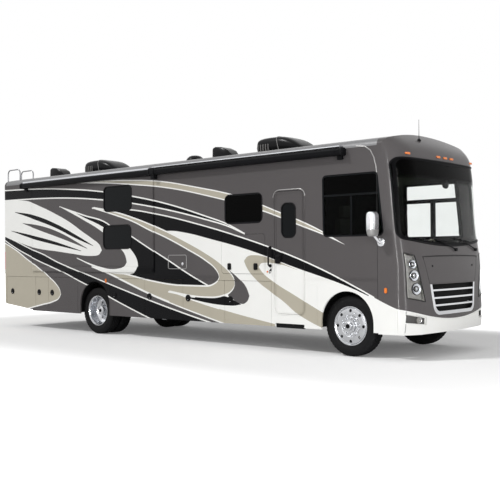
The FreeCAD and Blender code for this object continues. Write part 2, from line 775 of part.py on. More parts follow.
def cab_window_frame():
    """The cab window's frame with its cross bar and upright."""
    y = -half_width
    rim = cab_window_prism(0, (y - 2, y + 30)).cut(cab_window_prism(frame_width, (y - 10, y + 40)))
    inside = cab_window_prism(frame_width - 1, (y, y + 24))
    bar = box((at(-1000), at(1000)), (y, y + 24), (cab_divider_z - 14, cab_divider_z + 14)).common(inside)
    post = box((at(cab_divider_station) - 14, at(cab_divider_station) + 14), (y, y + 24),
               (cab_window_z[0], cab_divider_z)).common(inside)
    return fuse([rim, bar, post]).cut(cab_window_glass())


def cab_window_glass():
    y = -half_width
    return cab_window_prism(frame_width - 8, (y + 8, y + 8 + glass_thickness))


def slide_opening(stations):
    grow = -slide_flange
    return panel((stations[0] - grow, stations[1] + grow), (slide_z[0] - grow, slide_z[1] + grow),
                 (-half_width - 50, -half_width + wall + 10), 20)


def hatch_outline(ys, grow=0.0):
    return prism_y(rounded_points(at(hatch_stations[0]) - grow, at(hatch_stations[1]) + grow,
                                  hatch_z[0] - grow, hatch_z[1] + grow), ys, hatch_corner + grow)


def belt_moulding(spans):
    """The thin double moulding along the foot of the wall."""
    strips = []
    for span in spans:
        for low in (floor_top + 6, floor_top + 34):
            strips.append(box((at(span[0]), at(span[1])), (-half_width - 5, -half_width + 1), (low, low + 10)))
    return strips


def stop_frame(outline):
    """The frame a closed leaf rests against; outline(ys, grow) gives the leaf's form."""
    ys = (-half_width + door_thickness + seat_gap, -half_width + wall + 8)
    ring = outline(ys, panel_gap + 1).cut(outline((ys[0] - 5, ys[1] + 5), -stop_lap))
    return ring.common(box((at(rear_seam), at(front_seam)), ys, (floor_top, wall_top)))


def side_wall(side, slide, windows, has_door):
    """One side wall from the rear cap to the front cap with every opening cut."""
    sheet = box((at(rear_seam), at(front_seam)), (-half_width, -half_width + wall), (floor_top, wall_top))
    if has_door:
        mouldings = belt_moulding([(-4300, hatch_stations[0] - 30), (door_front + 40, front_seam - 10)])
    else:
        mouldings = belt_moulding([(-2250, front_seam - 10)])
    sheet = fuse([sheet] + mouldings)
    cutters = [slide_opening(slide), cab_window_prism(0, (-half_width - 60, -half_width + wall + 60))]
    cutters += [window_cut(window) for window in windows]
    if has_door:
        cutters += [door_cut(), hatch_outline((-half_width - 30, -half_width + wall + 30), panel_gap)]
    for cutter in cutters:
        sheet = sheet.cut(cutter)
    if has_door:
        entry = lambda ys, grow: prism_y(door_outline(grow), ys, door_corner + grow)
        sheet = fuse([sheet, stop_frame(entry), stop_frame(hatch_outline)])
    return on_side(sheet, side)


def arch_cut(station, radius, centre_z):
    """An arch opening: a half round on straight sides."""
    x = at(station)
    hoop = cylinder(Vector(x, -half_width - 60, centre_z), Vector(0, 1, 0), radius, 200)
    legs = box((x - radius, x + radius), (-half_width - 60, -half_width + 140), (0, centre_z))
    return hoop.fuse(legs)


def arch_liner(station, radius, z):
    """The half round liner inside an arch; ahead of the front seam it stays inside the cap."""
    x = at(station)
    ys = (-half_width + skin + seat_gap, -liner_inner_y)
    outer = cylinder(Vector(x, ys[0], z), Vector(0, 1, 0), radius, ys[1] - ys[0])
    inner = cylinder(Vector(x, ys[0] - 1, z), Vector(0, 1, 0), radius - liner_thickness, ys[1] - ys[0] + 2)
    shell = outer.cut(inner)
    keep = box((x - 700, x + 700), ys, (skirt_bottom + 20, floor_low))
    cap_wall_space = box((at(front_seam) - 2, at(front_seam) + 200), (ys[0], -half_width + cap_wall + 2),
                         (skirt_bottom, floor_low))
    return shell.common(keep).cut(cap_wall_space)


def tail_slope():
    """What is cut away below the rising tail."""
    points = [(at(tail_rise_station), 0), (at(tail_rise_station), skirt_bottom + 20),
              (at(body_rear) - 50, tail_bottom + 4), (at(body_rear) - 50, 0)]
    return prism_y(points, (-half_width - 100, half_width + 100))


def skirt(side, doors, has_door):
    """The fixed lower side: top rail, arch panels, posts and the liners in the arches."""
    y = (-half_width, -half_width + skin)
    sheet = box((at(rear_seam), at(front_seam)), y, (skirt_bottom, floor_top))
    sheet = sheet.cut(tail_slope())
    sheet = sheet.cut(arch_cut(0, front_arch_radius, front_arch_centre_z))
    sheet = sheet.cut(arch_cut(rear_axle + rear_arch_shift, rear_arch_radius, rear_arch_centre_z))
    for rear, front in doors:
        sheet = sheet.cut(box((at(rear) - panel_gap / 2, at(front) + panel_gap / 2),
                              (y[0] - 20, y[1] + 20), (0, baggage_top + panel_gap)))
    if has_door:
        sheet = sheet.cut(door_cut())
        sheet = sheet.cut(panel((step_stations[0] - 8, step_stations[1] + 8), (0, step_z[1] + 8),
                                (y[0] - 20, y[1] + 20)))
    else:
        for rear, front in baggage_right:
            if (rear, front) not in doors:
                for station in (rear, front):
                    groove = box((at(station) - 3, at(station) + 3), (y[0] - 1, y[0] + 8), (0, baggage_top))
                    sheet = sheet.cut(groove)
    liners = [arch_liner(0, *front_liner), arch_liner(rear_axle, *rear_liner)]
    return on_side(group([sheet] + liners), side)


# Roof and caps

def roof():
    """The crowned roof with rounded edges, standing on the side walls."""
    outer = body_hull((rear_seam, front_seam), wall_top - 100)
    inner = body_hull((rear_seam - 1, front_seam + 1), wall_top - 110, roof_thickness)
    below = box((at(rear_seam) - 1, at(front_seam) + 1), (-half_width - 1, half_width + 1),
                (wall_top - 120, wall_top))
    return outer.cut(inner).cut(below)


def rear_cap_hull():
    """The rear cap's outer form, its rear edges rounded."""
    hull = body_hull((body_rear, rear_seam), tail_bottom)
    rear_edges = []
    for edge in hull.Edges:
        reach = edge.BoundBox
        flat = abs(reach.XMax - at(body_rear)) < 1 and abs(reach.XMin - at(body_rear)) < 1
        if flat and reach.ZMax > tail_bottom + 1:
            rear_edges.append(edge)
    return hull.makeFillet(55, rear_edges)


def tail_lamp_block(side):
    ys = (side * (half_width - tail_lamp_width), side * (half_width + 30))
    return box((at(body_rear) - 20, at(body_rear) + 62), ys, tail_lamp_z)


def rear_cap():
    """A moulded pan that closes the rear, with corner lamps let in."""
    hull = rear_cap_hull()
    inner = body_hull((body_rear + 40, rear_seam + 1), floor_low, 50)
    below = box((at(body_rear) + 40, at(rear_seam) + 1), (-half_width + 50, half_width - 50),
                (tail_bottom - 1, floor_low + 1))
    cap = hull.cut(inner).cut(below)
    for side in (-1, 1):
        cap = cap.cut(tail_lamp_block(side))
    plate_recess = prism_x([(-190, 800), (190, 800), (190, 990), (-190, 990)],
                           (at(body_rear) - 1, at(body_rear) + 14), 15)
    return cap.cut(plate_recess)


def tail_lamps():
    """Red lenses that wrap the rear corners, a high row of lamps and a stop lamp."""
    hull = rear_cap_hull()
    inner = body_hull((body_rear + 40, rear_seam + 1), floor_low, 40)
    lamps = []
    for side in (-1, 1):
        lamps.append(hull.common(tail_lamp_block(side)).cut(inner))
    for y in (-lamp_row_y, -200, 0, 200, lamp_row_y):
        lamps.append(prism_x([(y - 55, 3240), (y + 55, 3240), (y + 55, 3275), (y - 55, 3275)],
                             (at(body_rear) - 14, at(body_rear)), 12))
    return group(lamps)


def bezier(*poles):
    curve = Part.BezierCurve()
    curve.setPoles(list(poles))
    return curve.toShape()


def cap_wire(z, front, depth, inset):
    """Half of a level section of the front cap: a straight side, a full corner, a gentle bow."""
    back = at(front_seam)
    w = half_width + cap_side - inset
    f = at(front) - inset
    flat = cap_flat - inset * 0.7
    start = Vector(at(front - depth), w, z)
    touch = Vector(f - flat ** 2 / (2 * cap_bow_radius), flat, z)
    nose = Vector(f, 0, z)
    way = Vector(flat / cap_bow_radius, -1, 0).normalize()
    corner = bezier(start, start + Vector(corner_pull * (touch.x - start.x), 0, 0),
                    touch - way * corner_pull * (w - flat), touch)
    bow = bezier(touch, touch + way * (flat / 3), nose + Vector(0, flat / 3, 0), nose)
    return Part.Wire([Part.makeLine(Vector(back, w, z), start), corner, bow,
                      Part.makeLine(nose, Vector(back, 0, z)),
                      Part.makeLine(Vector(back, 0, z), Vector(back, w, z))])


cap_hulls = {}


def cap_hull(inset):
    """The left half of the cap's form at a depth below its surface, made once for each depth."""
    if inset not in cap_hulls:
        wires = [cap_wire(z, front, depth, inset) for z, front, depth in cap_sections]
        loft = Part.makeLoft(wires, True, False)
        roof_form = body_hull((front_seam, front_seam + 900), cap_sections[0][0] - 10, inset)
        cap_hulls[inset] = loft.common(roof_form)
    return cap_hulls[inset]


def cap_layer(shallow, deep, form):
    """The part of a form that lies between two depths below the cap's surface."""
    return form.common(cap_hull(shallow)).cut(cap_hull(deep))


def whole(half):
    """A left half sewn to its mirror image along the middle plane."""
    faces = []
    for shape in (half, mirrored(half)):
        for face in shape.Faces:
            if max(abs(face.BoundBox.YMin), abs(face.BoundBox.YMax)) > 0.01:
                faces.append(face)
    shell = Part.makeShell(faces)
    shell.sewShape()
    return group([Part.makeSolid(piece) for piece in shell.Shells])


def front_points(half_top, z_top, half_low, z_low):
    return [(-half_low, z_low), (half_low, z_low), (half_top, z_top), (-half_top, z_top)]


front_span = (at(front_seam) + 20, at(1400))


def windshield_prism():
    """The windshield's outline seen from the front, its foot bowed down in the middle."""
    half = windshield_half
    top = windshield_top
    low = windshield_low_side
    r = windshield_corner
    c = r * (1 - math.sqrt(0.5))
    v = lambda y, z: Vector(front_span[0], y, z)
    edges = [Part.Arc(v(-half + r, low), v(0, windshield_low_middle), v(half - r, low)).toShape(),
             Part.Arc(v(half - r, low), v(half - c, low + c), v(half, low + r)).toShape(),
             Part.makeLine(v(half, low + r), v(half, top - r)),
             Part.Arc(v(half, top - r), v(half - c, top - c), v(half - r, top)).toShape(),
             Part.makeLine(v(half - r, top), v(-half + r, top)),
             Part.Arc(v(-half + r, top), v(-half + c, top - c), v(-half, top - r)).toShape(),
             Part.makeLine(v(-half, top - r), v(-half, low + r)),
             Part.Arc(v(-half, low + r), v(-half + c, low + c), v(-half + r, low)).toShape()]
    return Part.Face(Part.Wire(edges)).extrude(Vector(front_span[1] - front_span[0], 0, 0))


def bumper_form(shift):
    """What lies in front of the bumper's side seam and below its bowed top seam."""
    x0, x1 = at(bumper_station) + shift, front_span[1]
    v = lambda y, z: Vector(x0, y, z)
    half = half_width + 40
    side_z = bumper_top_side - shift
    edges = [Part.makeLine(v(-half, 200), v(half, 200)), Part.makeLine(v(half, 200), v(half, side_z)),
             Part.Arc(v(half, side_z), v(0, bumper_top_middle - shift), v(-half, side_z)).toShape(),
             Part.makeLine(v(-half, side_z), v(-half, 200))]
    return Part.Face(Part.Wire(edges)).extrude(Vector(x1 - x0, 0, 0))


def grille_outline(inset):
    """The grille's outline: straight top, sides that lean in, rounded foot."""
    top_half, top = grille_top[0] - inset, grille_top[1]
    low_half, low = grille_low[0] - inset, grille_low[1] + inset
    r = grille_corner - inset * 0.7
    lean = (top_half - low_half) / (top - low)
    x0, x1 = front_span
    v = lambda y, z: Vector(x0, y, z)
    c = r * (1 - math.sqrt(0.5))
    side_y = low_half + lean * r
    edges = [Part.makeLine(v(-low_half + r, low), v(low_half - r, low)),
             Part.Arc(v(low_half - r, low), v(low_half - c + lean * r / 3, low + c), v(side_y, low + r)).toShape(),
             Part.makeLine(v(side_y, low + r), v(top_half, top)),
             Part.makeLine(v(top_half, top), v(-top_half, top)),
             Part.makeLine(v(-top_half, top), v(-side_y, low + r)),
             Part.Arc(v(-side_y, low + r), v(-low_half + c - lean * r / 3, low + c), v(-low_half + r, low)).toShape()]
    return Part.Face(Part.Wire(edges)).extrude(Vector(x1 - x0, 0, 0))


def front_polygon(points, radius=0.0):
    return prism_x(points, front_span, radius)


def shrunk(points, inset):
    """The same outline drawn in towards its middle."""
    my = sum(p[0] for p in points) / len(points)
    mz = sum(p[1] for p in points) / len(points)
    result = []
    for y, z in points:
        result.append((y - math.copysign(inset, y - my), z - math.copysign(inset, z - mz)))
    return result


def front_pieces():
    """The front cap, bumper, windshield and headlamp lenses, all cut from one form."""
    low = cap_sections[0][0] - 5
    rear_opening = box((at(front_seam) - 1, at(front_seam) + 30), (-1, half_width - 46), (low, wall_top))
    underside = box((at(front_seam) - 1, at(bumper_station)), (-1, half_width - cap_wall), (low, floor_low))
    hood = prism_x(front_points(hood_top[0], hood_top[1], hood_low[0], hood_low[1]), front_span, 12)
    hood_in = prism_x(front_points(hood_top[0] - 5, hood_top[1] - 5, hood_low[0] - 5, hood_low[1] + 5),
                      front_span, 8)
    groove = hood.cut(hood_in).cut(cap_hull(glass_wall))
    shell = cap_hull(0)
    for cutter in (cap_hull(cap_wall), rear_opening, underside, windshield_prism(), grille_outline(0),
                   mirrored(cab_window_prism(0, (-half_width - 60, -half_width + 60))),
                   front_polygon(headlamp_outline, headlamp_corner), groove):
        shell = shell.cut(cutter)
    form = bumper_form(0)
    cap = shell.cut(form)
    seam = form.cut(bumper_form(4)).cut(cap_hull(glass_wall))
    recess = front_polygon(fog_outline, 14).cut(cap_hull(lamp_recess))
    bumper = shell.common(form).cut(seam).cut(recess)
    glass = cap_layer(0, glass_wall, windshield_prism())
    lens = cap_layer(0, glass_wall, front_polygon(shrunk(headlamp_outline, tub_wall), headlamp_corner - 4))
    return whole(cap), whole(bumper), whole(glass), both(lens)


def surface_station(y, z):
    """Where a line along X meets the front form, which is the same on both sides."""
    line = Part.makeLine(Vector(at(front_seam) + 40, abs(y), z), Vector(at(1400), abs(y), z))
    return line.common(cap_hull(0)).BoundBox.XMax


def front_point(y, z):
    """A point on the front form and the way out of it, level with the floor."""
    x = surface_station(y, z)
    slope = (surface_station(y + 15, z) - surface_station(y - 15, z)) / 30
    return Vector(x, y, z), Vector(1, -slope, 0).normalize()


def sunk_point(face, out, depth):
    """The point below a surface point where the form at a depth begins."""
    line = Part.makeLine(face - out * 250, face)
    inside = line.common(cap_hull(depth))
    return max((v.Point for v in inside.Vertexes), key=lambda p: p.dot(out))


def lamp_units(bumper_wall):
    """Round reflectors in a tub behind each headlamp lens, and the fog lamps in the bumper."""
    tub = cap_layer(0, tub_depth, front_polygon(headlamp_outline, headlamp_corner))
    inside = front_polygon(shrunk(headlamp_outline, tub_wall), headlamp_corner - 4)
    pieces = [tub.cut(inside.cut(cap_hull(tub_depth - tub_wall)))]
    for y, z, radius in round_lamps:
        face, out = front_point(y, z)
        floor = sunk_point(face, out, tub_depth - tub_wall / 2)
        bowl = Part.makeCone(radius * 0.55, radius * 0.9, 34, floor, out)
        cup = Part.makeCone(radius * 0.42, radius * 0.82, 34.5, floor + out * 7, out)
        bulb = cylinder(floor, out, radius * 0.2, 24)
        pieces.append(bowl.cut(cup).fuse(bulb))
    y, z, radius = fog_lamp
    face, out = front_point(y, z)
    fog = cylinder(face - out * (lamp_recess + 6), out, radius, 26).cut(bumper_wall)
    return both(group([fuse(pieces), fog]))


def grille():
    """A chrome surround open at the top, three bowed bars and the dark mesh behind them."""
    edge = grille_outline(0)
    mouth = grille_outline(grille_surround)
    bars = [box(front_span, (-1, grille_top[0]), (z - grille_bar_height / 2, z + grille_bar_height / 2))
            for z in grille_bar_z]
    ring = cap_layer(0, grille_depth, edge)
    ring = ring.cut(mouth.cut(Part.makeCompound(bars))).cut(mouth.cut(cap_hull(glass_wall)))
    ring = ring.cut(grille_outline(12).common(cap_hull(lamp_recess)))
    return whole(ring), whole(cap_layer(grille_depth, tub_depth, edge))


# Doors, hatch and slide out rooms

def baggage_door(stations, tail):
    rear, front = stations
    ys = (-half_width, -half_width + baggage_thickness)
    half = panel_gap / 2
    leaf = prism_y(rounded_points(at(rear) + half, at(front) - half, skirt_bottom, baggage_top), ys, 8)
    if tail:
        leaf = leaf.cut(tail_slope())
    latch_x = at(rear) + (222 if tail and rear < -9000 else 135)
    ring = cylinder(Vector(latch_x, -half_width - 4, 810), Vector(0, 1, 0), 48, 5)
    foot = (tail_bottom if tail else skirt_bottom) + 20
    barrel = rod(Vector(at(front) - half, -half_width, foot), Vector(at(front) - half, -half_width, baggage_top - 10),
                 baggage_hinge_radius)
    return fuse([leaf, ring, barrel])


def entry_door():
    """The entry door's leaf with its window cut and its latch plate."""
    ys = (-half_width, -half_width + door_thickness)
    leaf = prism_y(door_outline(), ys, door_corner)
    leaf = leaf.cut(window_cut(door_window))
    plate = prism_y(rounded_points(at(door_rear) + 45, at(door_rear) + 150, 1510, 1660),
                    (-half_width - 14, -half_width + 1), 16)
    hinge_x = at(door_front)
    barrel = rod(Vector(hinge_x, -half_width, door_bottom + door_corner),
                 Vector(hinge_x, -half_width, door_top - door_corner), door_hinge_radius)
    trim_outer = prism_y(door_outline(-20), (-half_width - 5, -half_width + 1), door_corner - 20)
    trim_inner = prism_y(door_outline(-34), (-half_width - 10, -half_width + 5), door_corner - 34)
    return fuse([leaf, trim_outer.cut(trim_inner), plate, barrel])


def hatch():
    ys = (-half_width, -half_width + door_thickness)
    leaf = hatch_outline(ys)
    latches = []
    for station in (-2440, -1850):
        latches.append(prism_y(rounded_points(at(station) - 42, at(station) + 42, 1330, 1440),
                               (-half_width - 10, -half_width + 1), 14))
    barrel = rod(Vector(at(hatch_stations[0]) + hatch_corner, -half_width, hatch_z[1]),
                 Vector(at(hatch_stations[1]) - hatch_corner, -half_width, hatch_z[1]), door_hinge_radius)
    return fuse([leaf, barrel] + latches)


def entry_step():
    """The folding tread that draws out from under the door."""
    ys = (-half_width + 15, -half_width + 15 + step_depth)
    frame = box((at(step_stations[0]), at(step_stations[1])), ys, (step_z[1] - 26, step_z[1]))
    lip = box((at(step_stations[0]), at(step_stations[1])), (ys[0], ys[0] + 26), step_z)
    return fuse([frame, lip])


def slide_room(stations, windows):
    """A room box open to the cabin, with a flanged outer face and its windows cut."""
    gap = slide_flange + panel_gap
    x = (stations[0] + gap, stations[1] - gap)
    z = slide_box_z()
    inner_y = -half_width + slide_depth
    outer_y = -half_width - slide_lip_gap - slide_lip
    shell = panel(x, z, (outer_y, inner_y), 14)
    hollow = panel((x[0] + slide_wall, x[1] - slide_wall), (z[0] + slide_wall, z[1] - slide_wall),
                   (-half_width + wall, inner_y + 1), 10)
    lip = panel(stations, slide_z, (outer_y, outer_y + slide_lip), 30)
    room = fuse([shell.cut(hollow), lip])
    for window in windows:
        room = room.cut(window_cut(window))
    return room


def slide_face():
    return slide_lip_gap + slide_lip


# Fittings

def half_round_case(stations, ys, zs, radius):
    return prism_x([(ys[0], zs[0]), (ys[1], zs[0]), (ys[1], zs[1]), (ys[0], zs[1])],
                   (at(stations[0]), at(stations[1])), radius)


def awning():
    """The long awning case with its lead rail and folded arms."""
    y0 = -half_width
    case = half_round_case(awning_stations, (y0 - awning_depth, y0), awning_z, 40)
    arms = []
    for end in (awning_stations[0] + 60, awning_stations[1] - 60):
        arms.append(box((at(end) - 45, at(end) + 45), (y0 - 40, y0), (awning_z[0] - 60, awning_z[0] + 5)))
    brackets = []
    for station in (awning_stations[0], awning_stations[1] - 12, -4300):
        brackets.append(half_round_case((station, station + 24), (y0 - awning_depth - 8, y0),
                                        (awning_z[0] - 8, awning_z[1] + 8), 44))
    return fuse([case] + arms + brackets)


def air_conditioner(stations):
    """A shroud that slopes down forward, louvred at its rear end."""
    rear, front = stations
    length = front - rear
    low = roof_top - 20
    top = roof_top + air_conditioner_height
    side = [(at(rear), low), (at(front), low), (at(front), low + 70), (at(front) - 0.24 * length, top - 30),
            (at(front) - 0.45 * length, top), (at(rear) + 0.12 * length, top), (at(rear), low + 150)]
    shroud = prism_y(side, (-air_conditioner_half, air_conditioner_half))
    edges = [e for e in shroud.Edges if abs(e.BoundBox.YMax - e.BoundBox.YMin) < 1 and e.BoundBox.ZMax > low + 60]
    shroud = shroud.makeChamfer(45, [e for e in edges if e.BoundBox.ZMin > low + 60])
    return shroud.cut(body_hull((rear - 10, front + 10), 1000))


def roof_vent(stations, y, half, height, front_height):
    rear, front = stations
    low = roof_top - 60
    side = [(at(rear), low), (at(front), low), (at(front), roof_top + front_height),
            (at(rear) + 60, roof_top + height), (at(rear), roof_top + height - 50)]
    cover = prism_y(side, (y - half, y + half))
    return cover.cut(body_hull((rear - 10, front + 10), 1000))


def roof_fittings():
    """The low covers over the roof vents."""
    covers = [roof_vent((-8950, -8250), -350, 250, 175, 40), roof_vent((-3750, -3100), -350, 230, 150, 30),
              roof_vent((-4820, -4290), 300, 220, 120, 90)]
    return covers


def whip_aerial():
    """The aerial on the right of the cap's brow."""
    base = Vector(at(810), 446, 0)
    column = Part.makeLine(Vector(base.x, base.y, 2500), Vector(base.x, base.y, 3600))
    z = column.common(cap_hull(0)).BoundBox.ZMax
    foot = cylinder(Vector(base.x, base.y, z - 8), Vector(0, 0, 1), 20, 30)
    mast = cylinder(Vector(base.x, base.y, z), Vector(0, 0, 1), 4, 330)
    return mirrored(fuse([foot, mast]).cut(cap_hull(0)))


def tube(points, bend, radius):
    """A round tube along straight runs joined by tangent arcs."""
    edges = []
    last = points[0]
    for before, corner, after in zip(points, points[1:], points[2:]):
        back = (before - corner).normalize()
        ahead = (after - corner).normalize()
        half_angle = back.getAngle(ahead) / 2
        reach = bend / math.tan(half_angle)
        start, end = corner + back * reach, corner + ahead * reach
        middle = corner + (back + ahead).normalize() * (bend / math.sin(half_angle) - bend)
        edges += [Part.makeLine(last, start), Part.Arc(start, middle, end).toShape()]
        last = end
    edges.append(Part.makeLine(last, points[-1]))
    ring = Part.Wire(Part.makeCircle(radius, points[0], points[1] - points[0]))
    return Part.Wire(edges).makePipeShell([ring], True, False)


def ladder():
    """Two tubes up the rear face that turn over the roof edge, with rungs between."""
    x = at(-rear_reach) + ladder_tube
    pieces = []
    for y in ladder_y:
        inner_y = abs(y) - ladder_tube
        foot_z = roof_top + math.sqrt(roof_crown_radius ** 2 - inner_y ** 2) - roof_crown_radius + seat_gap
        pieces.append(tube([Vector(x, y, ladder_low), Vector(x, y, ladder_hoop_top),
                            Vector(at(ladder_hoop_end), y, ladder_hoop_top),
                            Vector(at(ladder_hoop_end), y, foot_z)], ladder_bend, ladder_tube))
        for z in ladder_stays:
            pieces.append(rod(Vector(x, y, z), Vector(at(body_rear), y, z), ladder_tube * 0.8))
    z = ladder_low + ladder_rung_pitch / 2
    while z < roof_top:
        pieces.append(rod(Vector(x, ladder_y[0], z), Vector(x, ladder_y[1], z), ladder_tube * 0.9))
        z += ladder_rung_pitch
    return fuse(pieces)


def mirror():
    """A side mirror on its arm, on the right side."""
    outer, inner = -half_width - mirror_reach[1], -half_width - mirror_reach[0]
    rear, front = at(mirror_stations[0]), at(mirror_stations[1])
    head = prism_z(rounded_points(rear, front, outer, inner), mirror_z, mirror_corner)
    base_x = (front - 20, front + 70)
    base = box(base_x, (-half_width - 34, -half_width), mirror_base_z)
    arm_foot = Vector(sum(base_x) / 2, -half_width - 20, sum(mirror_base_z) / 2 + 5)
    arm_top = Vector((rear + front) / 2, inner - 90, mirror_z[0] + 30)
    return fuse([head, base, rod(arm_foot, arm_top, 20)])


def wiper(y):
    """A wiper: its pivot, its arm and a blade that follows the foot of the glass."""
    x = surface_station(y, wiper_pivot_z)
    pivot = cylinder(Vector(x - 8, y, wiper_pivot_z), Vector(1, 0, 0), 26, 44).cut(cap_hull(0))
    tip_y = y - wiper_reach
    tip = surface_station(tip_y, wiper_tip_z) + 22
    arm = rod(Vector(x + 28, y, wiper_pivot_z), Vector(tip, tip_y, wiper_tip_z), 9)
    stand_off = wiper_blade_radius + 4
    points = []
    for along, rise in ((330, -28), (65, -6), (-200, 16)):
        station = surface_station(tip_y + along, wiper_tip_z + rise)
        points.append(Vector(station + stand_off, tip_y + along, wiper_tip_z + rise))
    blades = [rod(points[0], points[1], wiper_blade_radius), rod(points[1], points[2], wiper_blade_radius),
              Part.makeSphere(wiper_blade_radius, points[1])]
    clip = rod(Vector(tip - 20, tip_y, wiper_tip_z), Vector(tip + 6, tip_y, wiper_tip_z), 12)
    return fuse([pivot, arm, clip] + blades)


def dashboard():
    """The dashboard across the foot of the windshield, with the steering column and wheel."""
    section = [(at(660), 1172), (at(760), 1172), (at(800), 1560), (at(1120), 1640), (at(1120), 1690),
               (at(640), 1665), (at(560), 1600), (at(560), 1480), (at(640), 1420)]
    form = prism_y(section, (-half_width + 60, half_width - 60))
    behind = form.common(box((at(-200), at(front_seam)), (-half_width + 60, half_width - 60), (1000, 2000)))
    form = fuse([behind, whole(form.common(cap_hull(tub_depth - tub_wall)))])
    hub = Vector(at(350), 620, 1620)
    column_end = Vector(at(620), 620, 1520)
    way = (hub - column_end)
    wheel = Part.makeTorus(205, 14, hub, way)
    spokes = []
    across = Vector(0, 1, 0)
    up = way.cross(across).normalize()
    for spoke in (across, across * -1, up * -1):
        spokes.append(rod(hub, hub + spoke * 205, 11))
    boss = Part.makeCylinder(45, 34, hub - way.normalize() * 22, way)
    return fuse([form, rod(column_end, hub, 24), wheel, boss] + spokes)


def cab_seat(y):
    """A cab seat on its pedestal."""
    pedestal = box((at(-330), at(60)), (y - 170, y + 170), (floor_top, 1480))
    cushion = prism_y([(at(-380), 1470), (at(160), 1490), (at(160), 1600), (at(-380), 1570)], (y - 260, y + 260), 30)
    back = prism_y([(at(-410), 1540), (at(-280), 1540), (at(-420), 2190), (at(-540), 2190)], (y - 250, y + 250), 30)
    rest = prism_y([(at(-530), 2180), (at(-430), 2180), (at(-450), 2380), (at(-540), 2380)], (y - 140, y + 140), 30)
    return fuse([pedestal, cushion, back, rest])


def marker_lamps():
    """Amber lamps: the front row above the windshield and the side markers."""
    lamps = []
    for y in (0, 211, lamp_row_y):
        z = 3075
        x = surface_station(y, z)
        form = prism_x([(y - 50, z - 16), (y + 50, z - 16), (y + 50, z + 16), (y - 50, z + 16)],
                       (x - 40, x + 16), 12)
        lamp = form.cut(cap_hull(0)).cut(mirrored(cap_hull(0)))
        lamps += [lamp, mirrored(lamp)] if y else [lamp]
    for side in (RIGHT, LEFT):
        for station, z in ((703, 1038), (-5819, 1092)):
            lamp = prism_y(rounded_points(at(station) - 22, at(station) + 22, z - 40, z + 40),
                           (-half_width - 12, -half_width), 18)
            lamps.append(on_side(lamp, side))
    return group(lamps)


def save(name, shape):
    shape.exportStep("parts/" + name + ".step")


# Wheels, axles and steering
tyre_front = tyre(0, wheel_track)
tyre_rear = group([tyre(rear_axle, wheel_track), tyre(rear_axle, wheel_track - twin_spacing)])
rim_front = front_rim()
rim_rear = rear_rims()
knuckle_right = knuckle()
for side, word in ((RIGHT, "right"), (LEFT, "left")):
    save("tyre_front_" + word, on_side(tyre_front, side))
    save("rim_front_" + word, on_side(rim_front, side))
    save("tyres_rear_" + word, on_side(tyre_rear, side))
    save("rims_rear_" + word, on_side(rim_rear, side))
    save("knuckle_" + word, on_side(knuckle_right, side))
save("tie_rod", tie_rod())
save("front_axle", front_axle())
save("rear_axle", rear_axle_housing())

# Chassis and what hangs in it
save("chassis_frame", chassis())
save("engine_block", engine())
save("tanks_and_exhaust", tanks())
save("cabin_floor", cabin_floor())
bays = storage_bays()
save("storage_bays", group(bays + [mirrored(bay) for bay in bays]))

# Body panels
save("wall_right", side_wall(RIGHT, slide_right, [mid_window], True))
save("wall_left", side_wall(LEFT, slide_left, [left_rear_window], False))
save("skirt_right", skirt(RIGHT, baggage_right, True))
save("skirt_left", skirt(LEFT, baggage_left, False))
save("roof_panel", roof())
save("rear_cap", rear_cap())
save("tail_lamps", tail_lamps())
cap, bumper, windshield, lenses = front_pieces()
save("front_cap", cap)
save("front_bumper", bumper)
save("windshield", windshield)
save("headlamp_lenses", lenses)
save("lamp_units", lamp_units(bumper))
chrome, mesh = grille()
save("grille_surround", chrome)
save("grille_mesh", mesh)
save("marker_lamps", marker_lamps())

# Windows in the walls
wall_frames = [window_frame(mid_window), cab_window_frame(), mirrored(window_frame(left_rear_window)),
               mirrored(cab_window_frame())]
wall_panes = [window_glass(mid_window), cab_window_glass(), mirrored(window_glass(left_rear_window)),
              mirrored(cab_window_glass())]
save("window_frames", group(wall_frames))
save("window_panes", group(wall_panes))

# Doors, hatch, step and slide out rooms
save("entry_door", entry_door())
save("entry_door_window", fuse([window_frame(door_window), window_glass(door_window)]))
save("entry_step", entry_step())
save("outside_hatch", hatch())
for number, stations in enumerate(baggage_right, 1):
    save("baggage_door_right_" + str(number), baggage_door(stations, stations[0] < tail_rise_station))
for number, stations in enumerate(baggage_left, 1):
    save("baggage_door_left_" + str(number), mirrored(baggage_door(stations, False)))
save("slide_right", slide_room(slide_right, slide_right_windows))
save("slide_left", mirrored(slide_room(slide_left, slide_left_windows)))
for word, side, windows in (("right", RIGHT, slide_right_windows), ("left", LEFT, slide_left_windows)):
    panes = [on_side(fuse([window_frame(w, slide_face()), window_glass(w, slide_face())]), side) for w in windows]
    save("slide_" + word + "_windows", group(panes))

# Fittings
save("air_conditioners", group([air_conditioner(air_conditioner_front), air_conditioner(air_conditioner_rear)]))
save("roof_fittings", group(roof_fittings() + [whip_aerial()]))
save("ladder", ladder())
save("awning", awning())
save("dashboard", dashboard())
save("cab_seats", group([cab_seat(-620), cab_seat(620)]))
save("mirrors", both(mirror()))
save("wipers", group([wiper(y) for y in wiper_pivots]))
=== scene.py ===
# The looks of a full size class A motorhome: its finishes, the painted stripes and the small details.
# Metres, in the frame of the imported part. Stations along the body are given from the front axle.
import bmesh
import bpy
import json
import math
from mathutils import Matrix, Vector
from mathutils.bvhtree import BVHTree

